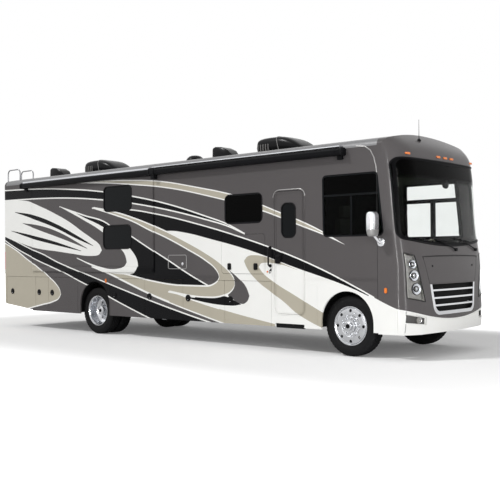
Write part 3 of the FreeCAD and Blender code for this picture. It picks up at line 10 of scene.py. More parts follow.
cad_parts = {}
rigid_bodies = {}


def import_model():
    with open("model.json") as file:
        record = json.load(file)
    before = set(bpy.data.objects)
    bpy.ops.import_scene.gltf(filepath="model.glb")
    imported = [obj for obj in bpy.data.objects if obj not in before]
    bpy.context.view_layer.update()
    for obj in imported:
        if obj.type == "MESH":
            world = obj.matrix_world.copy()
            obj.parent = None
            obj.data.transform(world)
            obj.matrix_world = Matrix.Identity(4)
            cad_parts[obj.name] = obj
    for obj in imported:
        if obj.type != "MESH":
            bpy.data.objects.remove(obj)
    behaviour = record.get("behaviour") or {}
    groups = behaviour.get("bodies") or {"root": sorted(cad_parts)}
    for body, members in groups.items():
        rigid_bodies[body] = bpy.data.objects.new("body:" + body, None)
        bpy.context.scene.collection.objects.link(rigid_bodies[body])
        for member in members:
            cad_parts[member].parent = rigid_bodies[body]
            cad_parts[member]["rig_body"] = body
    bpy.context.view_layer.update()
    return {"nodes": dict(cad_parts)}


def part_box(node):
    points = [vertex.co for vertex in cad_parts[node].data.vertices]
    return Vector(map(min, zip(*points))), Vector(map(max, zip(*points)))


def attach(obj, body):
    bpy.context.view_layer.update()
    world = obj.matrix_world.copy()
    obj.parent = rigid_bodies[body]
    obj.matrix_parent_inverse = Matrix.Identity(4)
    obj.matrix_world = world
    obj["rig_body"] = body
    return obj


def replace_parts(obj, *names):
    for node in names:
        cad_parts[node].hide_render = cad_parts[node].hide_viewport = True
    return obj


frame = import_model()
nodes = frame["nodes"]
scene = bpy.context.scene
RIGHT, LEFT = -1, 1
SIDES = ((RIGHT, "right"), (LEFT, "left"))

tyre_low, tyre_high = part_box("tyre_front_right")
front_axle = (tyre_low + tyre_high).x / 2
half_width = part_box("front_cap")[1].y


def at(station):
    """Part X of a station."""
    return front_axle + station


def side_of(node):
    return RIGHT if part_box(node)[0].y < 0 else LEFT


# Camera, its turns in degrees

camera_place = (11.4655, -11.719, 1.581)
camera_yaw, camera_pitch, camera_roll = 41.38, -0.35, -0.487
lens_pixels, picture_pixels, sensor_width = 822.1, 500.0, 36.0
farthest_seen = 300


def make_camera():
    yaw, pitch, roll = (math.radians(a) for a in (camera_yaw, camera_pitch, camera_roll))
    ahead = Vector((-math.sin(yaw) * math.cos(pitch), math.cos(yaw) * math.cos(pitch), -math.sin(pitch)))
    right = Vector((math.cos(yaw), math.sin(yaw), 0))
    up = right.cross(ahead)
    rolled_right = right * math.cos(roll) + up * math.sin(roll)
    rolled_up = up * math.cos(roll) - right * math.sin(roll)
    data = bpy.data.cameras.new("camera")
    data.sensor_width = sensor_width
    data.lens = lens_pixels / picture_pixels * sensor_width
    data.clip_end = farthest_seen
    camera = bpy.data.objects.new("camera", data)
    scene.collection.objects.link(camera)
    camera.matrix_world = Matrix((
        (rolled_right.x, rolled_up.x, -ahead.x, camera_place[0]),
        (rolled_right.y, rolled_up.y, -ahead.y, camera_place[1]),
        (rolled_right.z, rolled_up.z, -ahead.z, camera_place[2]),
        (0, 0, 0, 1)))
    scene.camera = camera


# Node graphs

class Graph:
    """A node tree with short calls for the nodes used here."""

    def __init__(self, tree):
        self.nodes = tree.nodes
        self.links = tree.links

    def feed(self, socket, value):
        """A socket linked to another one or set to a value; a colour gets its alpha."""
        if isinstance(value, bpy.types.NodeSocket):
            self.links.new(value, socket)
        elif value is not None:
            if socket.type == "RGBA" and len(value) == 3:
                value = (*value, 1)
            socket.default_value = value

    def add(self, kind, out=0, **inputs):
        """A node of a kind with its properties set and its inputs fed; returns an output."""
        node = self.nodes.new(kind)
        for name, value in inputs.items():
            if name.startswith("in_"):
                key = name[3:]
                self.feed(node.inputs[int(key) if key.isdigit() else key.replace("_", " ")], value)
            else:
                setattr(node, name, value)
        return node.outputs[out]

    def end(self, kind, value):
        """The node that ends the tree, fed."""
        self.feed(self.nodes.new(kind).inputs[0], value)

    def split(self, place):
        """The three coordinates of a place."""
        node = self.nodes.new("ShaderNodeSeparateXYZ")
        self.links.new(place, node.inputs[0])
        return node.outputs

    def math(self, operation, a, b=None, c=None):
        return self.add("ShaderNodeMath", operation=operation, in_0=a, in_1=b, in_2=c)

    def minus(self, a, b):
        return self.math("SUBTRACT", a, b)

    def times(self, a, b):
        return self.math("MULTIPLY", a, b)

    def most(self, a, b):
        return self.math("MAXIMUM", a, b)

    def over(self, a, b):
        return self.math("GREATER_THAN", a, b)

    def size(self, a):
        return self.math("ABSOLUTE", a)

    def mix(self, factor, a, b):
        return self.add("ShaderNodeMix", 2, data_type="RGBA", in_Factor=factor, in_6=a, in_7=b)

    def blend(self, factor, a, b):
        """A number between two numbers."""
        return self.add("ShaderNodeMapRange", in_0=factor, in_3=a, in_4=b)

    def noise(self, vector, scale, detail=3.0):
        return self.add("ShaderNodeTexNoise", in_Vector=vector, in_Scale=scale, in_Detail=detail)

    def place(self):
        return self.add("ShaderNodeTexCoord", 3)


def new_material(name):
    material = bpy.data.materials.new(name)
    material.use_nodes = True
    material.node_tree.nodes.clear()
    return material, Graph(material.node_tree)


patch_scale, patch_detail = 3.0, 2.0
roughness_spread = 0.3
coat_roughness = 0.03


def surface(name, color, roughness, metallic=0.0, grain=60.0, depth=0.0004, wear=0.08, coat=0.0,
            transmission=0.0, specular=0.5, ior=1.45):
    """A finish with some variation of colour, roughness and relief; color may be a function of the graph."""
    material, g = new_material(name)
    place = g.place()
    fine = g.noise(place, grain)
    base = color(g, place) if callable(color) else color
    dark = g.add("ShaderNodeHueSaturation", in_Color=base, in_Value=1.0 - wear)
    shaded = g.mix(g.noise(place, patch_scale, patch_detail), dark, base)
    spread = roughness_spread * roughness
    rough = g.blend(fine, roughness - spread, min(1.0, roughness + spread))
    relief = g.add("ShaderNodeBump", in_Height=fine, in_Distance=depth, in_Strength=1.0)
    g.end("ShaderNodeOutputMaterial", g.add(
        "ShaderNodeBsdfPrincipled", in_Base_Color=shaded, in_Roughness=rough, in_Metallic=metallic,
        in_Coat_Weight=coat, in_Coat_Roughness=coat_roughness, in_Transmission_Weight=transmission,
        in_Specular_IOR_Level=specular, in_IOR=ior, in_Normal=relief))
    return material


# Painted stripes, drawn as curves of height over station

grey = (0.100, 0.093, 0.094)
black = (0.005, 0.005, 0.006)
beige = (0.470, 0.435, 0.355)
white = (0.900, 0.900, 0.875)
# The height that the full range of a drawn curve stands for
paint_height = 3.5
edge_sharpness = 2000.0
line_width = 0.026
tail_end = -9.6

TOP_LINE = [(-9.5, 3.108), (-8.15, 3.067), (-7.0, 2.992), (-6.0, 2.892), (-5.0, 2.742), (-4.0, 2.542),
            (-3.0, 2.275), (-2.5, 2.125), (-2.083, 1.945)]
LOW_LINE = [(-9.5, 2.877), (-8.0, 2.85), (-7.0, 2.808), (-6.0, 2.725), (-5.0, 2.603), (-4.0, 2.433),
            (-3.0, 2.217), (-2.5, 2.092), (-2.083, 1.942)]
SASH_TOP = [(-7.0, 3.14), (-6.0, 3.11), (-5.2, 3.07), (-4.25, 2.992), (-3.25, 2.82), (-2.27, 2.608),
            (-1.28, 2.275), (-0.6, 2.017), (-0.033, 1.735)]
SASH_LOW = [(-7.0, 3.115), (-6.0, 3.053), (-5.0, 2.958), (-4.0, 2.833), (-3.0, 2.637), (-1.68, 2.308),
            (-0.975, 2.07), (-0.333, 1.85), (-0.033, 1.73)]
BAND_TOP = [(-5.85, 2.52), (-5.08, 2.483), (-4.25, 2.358), (-3.25, 2.153), (-2.25, 1.908), (-1.25, 1.62),
            (-0.5, 1.358), (0.25, 1.042), (0.6, 0.883), (0.883, 0.772), (1.0, 0.74), (1.1, 0.5)]
BAND_LOW = [(-5.85, 2.0), (-3.967, 2.042), (-3.5, 1.992), (-3.0, 1.892), (-2.0, 1.667), (-1.0, 1.375),
            (0.0, 1.092), (0.45, 0.93)]
HOOK_TOP = [(-2.1, 1.49), (-2.03, 1.555), (-1.9, 1.577), (-1.7, 1.562), (-1.4, 1.483), (-0.95, 1.335)]
HOOK_LOW = [(-2.1, 1.47), (-2.05, 1.375), (-1.85, 1.175), (-1.5, 0.958), (-1.25, 0.817), (-1.0, 0.65),
            (-0.75, 0.53), (-0.40, 0.40)]
HOOK_IN_TOP = [(-1.77, 1.39), (-1.72, 1.441), (-1.6, 1.452), (-1.275, 1.417), (-0.95, 1.333)]
HOOK_IN_LOW = [(-1.77, 1.37), (-1.7, 1.292), (-1.45, 1.133), (-1.0, 0.917), (-0.75, 0.80), (-0.40, 0.64)]
SKIRT_SWEEP = [(-3.97, 0.905), (-3.7, 0.855), (-3.42, 0.79), (-3.0, 0.70), (-2.55, 0.617), (-2.0, 0.525),
               (-1.43, 0.438)]
BLACK_LEAF_TOP = [(-3.42, 0.83), (-3.0, 0.84), (-2.7, 0.87), (-2.55, 0.867), (-2.183, 0.742)]
BLACK_LEAF_LOW = [(-3.42, 0.80), (-3.0, 0.74), (-2.6, 0.71), (-2.4, 0.708), (-2.183, 0.735)]
GREY_LEAF_TOP = [(-2.48, 1.34), (-2.417, 1.30), (-2.25, 1.192), (-2.05, 1.017), (-1.993, 0.90)]
GREY_LEAF_LOW = [(-2.48, 0.875), (-2.15, 0.747), (-2.067, 0.775), (-2.017, 0.825), (-1.993, 0.88)]
WING_TOP = [(-6.18, 2.585), (-5.62, 2.49), (-5.0, 2.345), (-4.25, 2.117), (-3.5, 1.842), (-3.0, 1.63),
            (-2.667, 1.458), (-2.4, 1.262), (-2.335, 1.17), (-2.322, 1.10)]
WING_LOW = [(-3.97, 0.91), (-3.4, 0.842), (-3.0, 0.825), (-2.6, 0.867), (-2.383, 0.967), (-2.333, 1.04),
            (-2.322, 1.09)]
KEEL = [(-6.25, 1.375), (-5.75, 1.237), (-5.25, 1.08), (-4.5, 0.85), (-3.75, 0.658), (-3.0, 0.483),
        (-2.45, 0.36)]
HEART_TOP = [(-6.18, 2.575), (-5.5, 2.408), (-5.0, 2.275), (-4.5, 2.09), (-4.0, 1.917), (-3.5, 1.717),
             (-3.0, 1.495), (-2.783, 1.358), (-2.70, 1.25), (-2.686, 1.20)]
HEART_LOW = [(-6.23, 1.385), (-5.85, 1.29), (-5.2, 1.212), (-4.5, 1.10), (-3.75, 1.025), (-3.05, 1.022),
             (-2.783, 1.083), (-2.70, 1.16), (-2.686, 1.19)]
SLASH = [(-5.25, 2.075), (-5.0, 1.958), (-4.5, 1.725), (-4.0, 1.50), (-3.5, 1.267), (-2.95, 1.037),
         (-2.7, 0.93)]
HORN_TOP = [(-7.34, 2.652), (-6.5, 2.442), (-5.73, 2.242), (-5.35, 1.985), (-5.05, 1.725), (-4.917, 1.60),
            (-4.845, 1.49), (-4.825, 1.40)]
HORN_LOW = [(-6.75, 1.54), (-6.23, 1.385), (-5.85, 1.29), (-5.6, 1.24), (-5.2, 1.222), (-5.0, 1.242),
            (-4.88, 1.305), (-4.825, 1.39)]
HORN_IN_TOP = [(-7.30, 2.630), (-7.0, 2.517), (-6.5, 2.325), (-6.0, 2.117), (-5.6, 1.90), (-5.325, 1.717),
               (-5.2, 1.59), (-5.158, 1.47)]
HORN_IN_LOW = [(-6.75, 1.558), (-6.25, 1.425), (-5.9, 1.358), (-5.6, 1.325), (-5.4, 1.337), (-5.22, 1.39),
               (-5.158, 1.46)]
WEDGE_LOW = [(-6.86, 2.515), (-6.5, 2.383), (-6.0, 2.217), (-5.4, 1.96)]
TAIL_WHITE_TOP = [(-9.5, 2.87), (-8.6, 2.83), (-8.0, 2.667), (-7.5, 2.50), (-7.0, 2.308), (-6.57, 2.10),
                  (-6.23, 1.94), (-6.0, 1.815), (-5.925, 1.71)]
TAIL_WHITE_LOW = [(-9.5, 2.07), (-9.0, 1.94), (-8.5, 1.82), (-8.0, 1.745), (-7.5, 1.70), (-6.9, 1.64),
                  (-6.3, 1.59), (-6.03, 1.607), (-5.925, 1.70)]
DIAGONAL_TOP = [(-9.6, 2.10), (-9.0, 1.93), (-8.5, 1.775), (-8.0, 1.65), (-7.4, 1.458), (-6.75, 1.292),
                (-6.0, 1.10), (-5.25, 0.913), (-4.5, 0.733), (-3.6, 0.533), (-2.7, 0.35)]
DIAGONAL_LOW = [(-9.6, 2.02), (-9.0, 1.775), (-8.5, 1.608), (-8.0, 1.458), (-7.4, 1.30), (-6.75, 1.092),
                (-6.0, 0.86), (-5.25, 0.617), (-4.48, 0.383), (-4.2, 0.30)]
TAIL_BEIGE_TOP = [(-9.6, 1.965), (-9.0, 1.742), (-8.5, 1.508), (-8.1, 1.35), (-7.75, 1.158), (-7.467, 0.983),
                  (-7.36, 0.87), (-7.333, 0.79)]
TAIL_BEIGE_LOW = [(-9.6, 0.20), (-8.45, 0.442), (-8.0, 0.528), (-7.6, 0.608), (-7.40, 0.69), (-7.333, 0.78)]
# A plain set of tapered sweeps on the white tail, one above the other
TAIL_SWEEPS = [
    (black, [(-9.05, 2.60), (-8.3, 2.50), (-7.5, 2.29), (-6.75, 2.02), (-6.2, 1.80)],
     [(-9.05, 2.59), (-8.3, 2.41), (-7.5, 2.20), (-6.75, 1.95), (-6.2, 1.79)]),
    (grey, [(-8.75, 2.34), (-8.0, 2.25), (-7.3, 2.08), (-6.4, 1.75)],
     [(-8.75, 2.33), (-8.0, 2.14), (-7.3, 1.97), (-6.4, 1.74)]),
    (black, [(-9.2, 2.18), (-8.4, 2.06), (-7.6, 1.92), (-6.6, 1.70)],
     [(-9.2, 2.17), (-8.4, 1.99), (-7.6, 1.85), (-6.6, 1.69)])]


def span_of(points):
    return points[0][0], points[-1][0]


def from_tail(points):
    return tail_end, points[-1][0]


class Livery:
    """Builds the stripes as one colour over (station, height), each shape painted over the last."""

    def __init__(self, g, station, height, color):
        self.g, self.x, self.z, self.color = g, station, height, color
        self.drawn = {}

    def draw(self, points):
        """Height of a drawn curve above each station."""
        g = self.g
        first, last = points[0][0], points[-1][0]
        share = g.add("ShaderNodeMapRange", in_0=self.x, in_1=first, in_2=last)
        node = g.nodes.new("ShaderNodeFloatCurve")
        g.links.new(share, node.inputs["Value"])
        drawn = node.mapping.curves[0].points
        for x, z in points[1:-1]:
            drawn.new((x - first) / (last - first), z / paint_height)
        drawn[0].location = (0, points[0][1] / paint_height)
        drawn[len(drawn) - 1].location = (1, points[-1][1] / paint_height)
        for point in drawn:
            point.handle_type = "AUTO_CLAMPED"
        node.mapping.update()
        return g.times(node.outputs[0], paint_height)

    def curve(self, points):
        """The height of a curve, drawn once; a height that is a socket already stays as it is."""
        if not isinstance(points, list):
            return points
        if id(points) not in self.drawn:
            self.drawn[id(points)] = self.draw(points)
        return self.drawn[id(points)]

    def step(self, value, past=0.0):
        """One where the value is over another, with an edge that is half a millimetre soft."""
        scaled = self.g.math("MULTIPLY_ADD", value, edge_sharpness, 0.5 - past * edge_sharpness)
        return self.g.math("MINIMUM", self.g.most(scaled, 0.0), 1.0)

    def below(self, top, inset=0.0):
        return self.step(self.g.minus(self.curve(top), self.z), inset)

    def above(self, low, inset=0.0):
        return self.step(self.g.minus(self.z, self.curve(low)), inset)

    def near(self, curve, reach):
        """One within a reach of a curve."""
        distance = self.g.size(self.g.minus(self.z, self.curve(curve)))
        return self.step(self.g.minus(reach, distance))

    def fill(self, mask, span, color):
        """Paints where a mask is one between two stations."""
        after = self.step(self.g.minus(self.x, span[0]))
        ahead = self.step(self.g.minus(span[1], self.x))
        self.color = self.g.mix(self.g.times(self.g.times(mask, after), ahead), self.color, color)

    def leaf(self, top, low, color, span=None, edge=0.0):
        """The area between two curves, with a white edge of a width if one is given."""
        span = span or span_of(top)
        if edge:
            self.fill(self.g.times(self.below(top), self.above(low)), span, white)
        self.fill(self.g.times(self.below(top, edge), self.above(low, edge)), span, color)

    def line(self, curve, span, width=line_width):
        self.fill(self.near(curve, width / 2), span, white)


def cab_side_stripes(paint):
    """The sash, the twin lines and the main band with the white below it."""
    paint.leaf(SASH_TOP, SASH_LOW, beige, edge=0.022)
    paint.leaf(TOP_LINE, LOW_LINE, black)
    paint.line(TOP_LINE, from_tail(TOP_LINE))
    paint.line(LOW_LINE, from_tail(LOW_LINE))
    band_span = (-5.7, 0.5)
    paint.leaf(BAND_TOP, BAND_LOW, black, band_span)
    paint.fill(paint.below(BAND_LOW), (-4.1, 0.45), white)
    paint.fill(paint.below(BAND_TOP), (0.40, 3.0), white)
    paint.line(BAND_TOP, band_span, 0.024)


def hook_stripes(paint):
    """The hook behind the front wheel, the sweep along the skirt and the small leaves over it."""
    paint.leaf(HOOK_TOP, HOOK_LOW, beige)
    paint.leaf(HOOK_IN_LOW, HOOK_LOW, beige, (HOOK_TOP[-1][0], HOOK_LOW[-1][0]))
    paint.leaf(HOOK_IN_TOP, HOOK_IN_LOW, white)
    paint.fill(paint.below(SKIRT_SWEEP), span_of(SKIRT_SWEEP), beige)
    paint.line(SKIRT_SWEEP, (-3.42, -2.7), 0.02)
    paint.leaf(BLACK_LEAF_TOP, BLACK_LEAF_LOW, black)
    paint.leaf(GREY_LEAF_TOP, GREY_LEAF_LOW, grey)


def wing_stripes(paint):
    """The long beige wing with its grey heart, and the dark diagonal band under it."""
    edge = 0.028
    paint.leaf(WING_TOP, KEEL, beige, (WING_TOP[0][0], WING_LOW[0][0]), edge)
    paint.leaf(WING_TOP, WING_LOW, beige, span_of(WING_LOW), edge)
    paint.line(WING_LOW, (-4.0, -3.3), 0.03)
    paint.fill(paint.below(KEEL), span_of(KEEL), grey)
    paint.line(KEEL, span_of(KEEL))
    paint.leaf(DIAGONAL_TOP, DIAGONAL_LOW, black, from_tail(DIAGONAL_TOP))
    paint.line(DIAGONAL_TOP, from_tail(DIAGONAL_TOP))
    paint.line(DIAGONAL_LOW, from_tail(DIAGONAL_LOW))
    paint.leaf(HEART_TOP, HEART_LOW, grey, span_of(HEART_LOW), edge)
    inside = paint.g.times(paint.above(HEART_LOW, edge), paint.below(HEART_TOP, edge))
    paint.fill(paint.g.times(inside, paint.below(SLASH)), span_of(SLASH), black)
    paint.fill(paint.g.times(inside, paint.near(SLASH, edge / 2)), span_of(SLASH), white)


def horn_stripes(paint):
    """The white crescent behind the lower window."""
    tip, end = HORN_IN_TOP[-1][0], HORN_TOP[-1][0]
    paint.leaf(HORN_TOP, HORN_LOW, grey, (-5.6, end))
    paint.leaf(HORN_TOP, HORN_IN_TOP, white, (HORN_TOP[0][0], tip))
    paint.leaf(HORN_IN_LOW, HORN_LOW, white, (HORN_LOW[0][0], tip))
    paint.leaf(HORN_TOP, HORN_LOW, white, (tip, end))
    wedge_top = paint.g.minus(paint.curve(HORN_TOP), 0.03)
    paint.leaf(wedge_top, WEDGE_LOW, black, span_of(WEDGE_LOW))


def tail_stripes(paint):
    """The white tail with its sweeps, and the beige corner below."""
    paint.leaf(TAIL_WHITE_TOP, TAIL_WHITE_LOW, white, from_tail(TAIL_WHITE_TOP))
    for color, top, low in TAIL_SWEEPS:
        paint.leaf(top, low, color)
    paint.leaf(TAIL_BEIGE_TOP, TAIL_BEIGE_LOW, beige, edge=0.03)


# Across the front: where it starts, and the height and bow of the white's upper edge
nose_start, nose_white_height, nose_white_bow = 0.9, 0.583, 0.1125


def front_paint(paint, y):
    """The bowed edge between the grey and the white across the front."""
    g = paint.g
    bow = g.math("MULTIPLY_ADD", g.times(y, y), nose_white_bow, nose_white_height)
    ahead = paint.step(g.minus(paint.x, nose_start))
    paint.color = g.mix(g.times(ahead, paint.below(bow)), paint.color, white)


def livery_group():
    """All the stripes as one group, from a point to a colour."""
    tree = bpy.data.node_groups.new("stripes", "ShaderNodeTree")
    tree.interface.new_socket("Place", in_out="INPUT", socket_type="NodeSocketVector")
    tree.interface.new_socket("Color", in_out="OUTPUT", socket_type="NodeSocketColor")
    g = Graph(tree)
    x, y, z = g.split(g.add("NodeGroupInput"))
    paint = Livery(g, g.minus(x, front_axle), z, grey)
    for stripe in (cab_side_stripes, hook_stripes, wing_stripes, horn_stripes, tail_stripes):
        stripe(paint)
    front_paint(paint, y)
    g.end("NodeGroupOutput", paint.color)
    return tree


stripes = livery_group()


def striped(g, place):
    return g.add("ShaderNodeGroup", node_tree=stripes, in_0=place)


# Finishes

# The cabin side of the walls is nearly black: painted shade of the unlit cabin, not the lining's own colour
cabin_lining_shade = (0.022, 0.022, 0.020)
rubber_black = (0.010, 0.010, 0.0105)
glass_black = (0.004, 0.004, 0.005)
frame_black = (0.005, 0.005, 0.006)
pane_black = (0.003, 0.004, 0.005)
shown_corner, window_frame = 0.11, 0.028
# Windows: stations from and to, heights from and to
slide_windows = {"right": [(-5.857, -4.991, 2.463, 2.972), (-5.876, -5.014, 1.718, 2.199)],
                 "left": [(-6.9, -6.0, 2.0, 2.7), (-4.9, -3.5, 1.9, 2.7)]}
door_window = (-1.282, -0.972, 1.853, 2.431)
wall_windows = [(-2.551, -1.680, 2.115, 2.632), (-8.700, -7.800, 2.115, 2.632), (-0.46, 0.70, 1.84, 2.83)]
cab_rear, cab_bar_height = -0.5, 2.50
shade_foot, shade_full = 2.67, 2.77


def lined(inside, y_limit, z_limit=9.0):
    """The stripes outside and a plain colour on the cabin side of a wall."""
    def color(g, place):
        _, y, z = g.split(place)
        shown = g.most(g.over(g.size(y), y_limit), g.over(z, z_limit))
        return g.mix(shown, inside, striped(g, place))
    return color


def rounded_mask(g, x, z, area, inset):
    """One inside a rounded rectangle of stations and heights."""
    corner = max(shown_corner - inset, 0.01)
    away = []
    for value, low, high in ((x, *area[:2]), (z, *area[2:])):
        shifted = g.size(g.minus(value, (low + high) / 2))
        away.append(g.most(g.minus(shifted, (high - low) / 2 - inset - corner), 0.0))
    squared = g.math("ADD", g.times(away[0], away[0]), g.times(away[1], away[1]))
    return g.math("LESS_THAN", g.math("SQRT", squared), corner)


def framed_glass(areas):
    """Dark glass inside a black frame, told apart by place."""
    def color(g, place):
        x, _, z = g.split(place)
        station = g.minus(x, front_axle)
        glass, border = 0.0, 0.0
        for area in areas:
            glass = g.most(glass, rounded_mask(g, station, z, area, window_frame))
            border = g.most(border, rounded_mask(g, station, z, area, 0.0))
        return g.mix(border, striped(g, place), g.mix(glass, frame_black, pane_black))
    return color


def screen_tint(g, place):
    """Clear glass with a dark band along its top."""
    band = g.add("ShaderNodeMapRange", in_0=g.split(place)[2], in_1=shade_foot, in_2=shade_full)
    return g.mix(band, (0.93, 0.965, 0.945), glass_black)


def cab_tint_and_shade(g, place):
    """Dark on the right side of the cab, where tint and painted shade of the cab behind the glass stand in
    for the view in, and darker still above the window bar as painted shade; clear on the left side, and
    nearly black aft of the cab.
    """
    x, y, z = g.split(place)
    # Painted shade: the near side's glass is darkened for the unlit cab behind it, and darker above the
    # window bar
    near_side_shade = g.mix(g.over(z, cab_bar_height), (0.075, 0.100, 0.098), (0.012, 0.014, 0.018))
    in_cab = g.mix(g.over(y, 0.0), near_side_shade, (0.98, 0.98, 0.98))
    return g.mix(g.over(x, at(cab_rear)), glass_black, in_cab)


def worn_rim(g, place):
    """Polished metal in two shades."""
    return g.mix(g.noise(place, 9.0, 2.0), (0.50, 0.51, 0.53), (0.72, 0.73, 0.75))


paint_roughness = 0.28
gloss = dict(grain=900.0, depth=0.00003, wear=0.05, specular=0.10)
clear = dict(grain=3.0, depth=0.0, transmission=1.0)
pane = dict(grain=3.0, depth=0.0, specular=0.12)
bare_metal = dict(metallic=1.0)
# Each finish: name, colour, roughness, what else differs from plain, and the nodes that wear it
FINISHES = [
    ("coach_paint", lined(cabin_lining_shade, half_width - 0.02, 3.3), paint_roughness, gloss,
     "wall_right wall_left entry_door outside_hatch slide_right slide_left"),
    ("skirt_paint", lined(rubber_black, half_width - 0.03), paint_roughness, gloss, "skirt_right skirt_left"),
    ("front_paint", striped, paint_roughness, dict(gloss, coat=0.12), "front_cap front_bumper rear_cap"),
    ("roof_paint", (0.22, 0.22, 0.225), 0.45, dict(grain=40.0, depth=0.0003, wear=0.15, metallic=0.2),
     "roof_panel"),
    ("shroud_plastic", (0.006, 0.006, 0.007), 0.25, dict(grain=300.0, depth=0.0001, specular=0.15),
     "air_conditioners roof_fittings"),
    ("black_plastic", (0.006, 0.006, 0.007), 0.5, dict(grain=500.0, depth=0.0003, specular=0.10),
     "entry_step wipers"),
    ("awning_case", (0.005, 0.005, 0.006), 0.4, dict(grain=250.0, depth=0.0003, specular=0.08), "awning"),
    ("side_glass", cab_tint_and_shade, 0.0, dict(clear, wear=0.1, ior=1.12), "window_panes"),
    ("windshield_glass", screen_tint, 0.0, dict(clear, wear=0.04, ior=1.10), "windshield"),
    ("lens_glass", (0.97, 0.98, 0.99), 0.0, dict(clear, grain=80.0, wear=0.02, specular=0.3, ior=1.08),
     "headlamp_lenses"),
    ("side_window", framed_glass(slide_windows["right"] + slide_windows["left"]), 0.10, pane,
     "slide_right_windows slide_left_windows"),
    ("door_window", framed_glass([door_window]), 0.10, pane, "entry_door_window"),
    ("window_frame", framed_glass(wall_windows), 0.4, dict(grain=300.0, depth=0.0001, specular=0.12),
     "window_frames"),
    ("grille_mesh", (0.004, 0.004, 0.004), 0.6, dict(grain=400.0, depth=0.0003, specular=0.08),
     "grille_mesh"),
    ("chrome", (0.80, 0.81, 0.83), 0.08, dict(bare_metal, grain=120.0, depth=0.0001, wear=0.1),
     "grille_surround mirrors"),
    ("reflector", (0.70, 0.71, 0.73), 0.16, dict(bare_metal, grain=160.0, depth=0.0002, wear=0.15), ""),
    ("lamp_bezel", (0.34, 0.33, 0.31), 0.32, dict(metallic=0.7, grain=260.0, depth=0.0003, wear=0.2),
     "lamp_units"),
    ("fog_plate", (0.085, 0.082, 0.078), 0.45, dict(grain=160.0, depth=0.0012, wear=0.5), ""),
    ("glass_border", (0.004, 0.004, 0.0045), 0.30, dict(depth=0.0, specular=0.03), ""),
    ("wheel_metal", worn_rim, 0.22, dict(bare_metal, grain=220.0, depth=0.0002, wear=0.12),
     "rim_front_right rim_front_left rims_rear_right rims_rear_left"),
    ("ladder_metal", (0.30, 0.30, 0.31), 0.3, dict(metallic=0.8, grain=200.0, depth=0.0002), "ladder"),
    ("chassis_black", (0.020, 0.020, 0.021), 0.6, dict(grain=70.0, depth=0.0008, wear=0.3),
     "chassis_frame tie_rod"),
    ("cast", (0.045, 0.043, 0.042), 0.7, dict(metallic=0.3, grain=110.0, depth=0.0012, wear=0.3),
     "front_axle rear_axle knuckle_right knuckle_left engine_block"),
    ("tank", (0.13, 0.13, 0.14), 0.45, dict(metallic=0.6, grain=90.0), "tanks_and_exhaust"),
    ("floor", (0.16, 0.12, 0.08), 0.6, dict(grain=90.0, depth=0.0006, wear=0.25), "cabin_floor"),
    ("bay", (0.26, 0.26, 0.27), 0.7, dict(grain=160.0, depth=0.0006, wear=0.2), "storage_bays"),
    ("dash_plastic", (0.13, 0.12, 0.095), 0.6, dict(grain=700.0), "dashboard"),
    ("seat_fabric", (0.17, 0.14, 0.11), 0.75, dict(grain=900.0, depth=0.0006), "cab_seats"),
    ("amber_lens", (0.83, 0.20, 0.02), 0.2, dict(grain=250.0, coat=0.3), "marker_lamps"),
    ("red_lens", (0.50, 0.012, 0.010), 0.2, dict(grain=250.0, coat=0.3), "tail_lamps"),
    ("tyre_rubber", rubber_black, 0.7, dict(grain=350.0, depth=0.0005, wear=0.25, specular=0.12),
     "tyre_front_right tyre_front_left tyres_rear_right tyres_rear_left"),
    ("light_trim", (0.34, 0.335, 0.33), 0.35, dict(metallic=0.3, grain=300.0, depth=0.0002), ""),
    ("seam_dark", (0.010, 0.010, 0.010), 0.7, dict(grain=200.0, depth=0.0003), ""),
    ("rail_metal", (0.62, 0.63, 0.66), 0.3, dict(metallic=0.7, grain=200.0, depth=0.0002), ""),
    ("louvre_grey", (0.16, 0.155, 0.15), 0.5, dict(grain=300.0, depth=0.0003), ""),
    ("mirror_shell", (0.86, 0.87, 0.89), 0.12, dict(metallic=0.85, grain=120.0, depth=0.0001, wear=0.05), ""),
    ("mirror_glass", (0.75, 0.77, 0.79), 0.02, dict(bare_metal, depth=0.00005), "")]
# The material of each finish, by its name
finishes = {}


def dress(obj, finish):
    obj.data.materials.clear()
    obj.data.materials.append(finishes[finish])


def dress_nodes():
    """Every finish, and the nodes that wear it."""
    for name, color, roughness, options, wearers in FINISHES:
        finishes[name] = surface(name, color, roughness, **options)
        for node in wearers.split():
            dress(nodes[node], name)
    for name, node in nodes.items():
        if name.startswith("baggage_door_"):
            dress(node, "skirt_paint")


# Mesh building

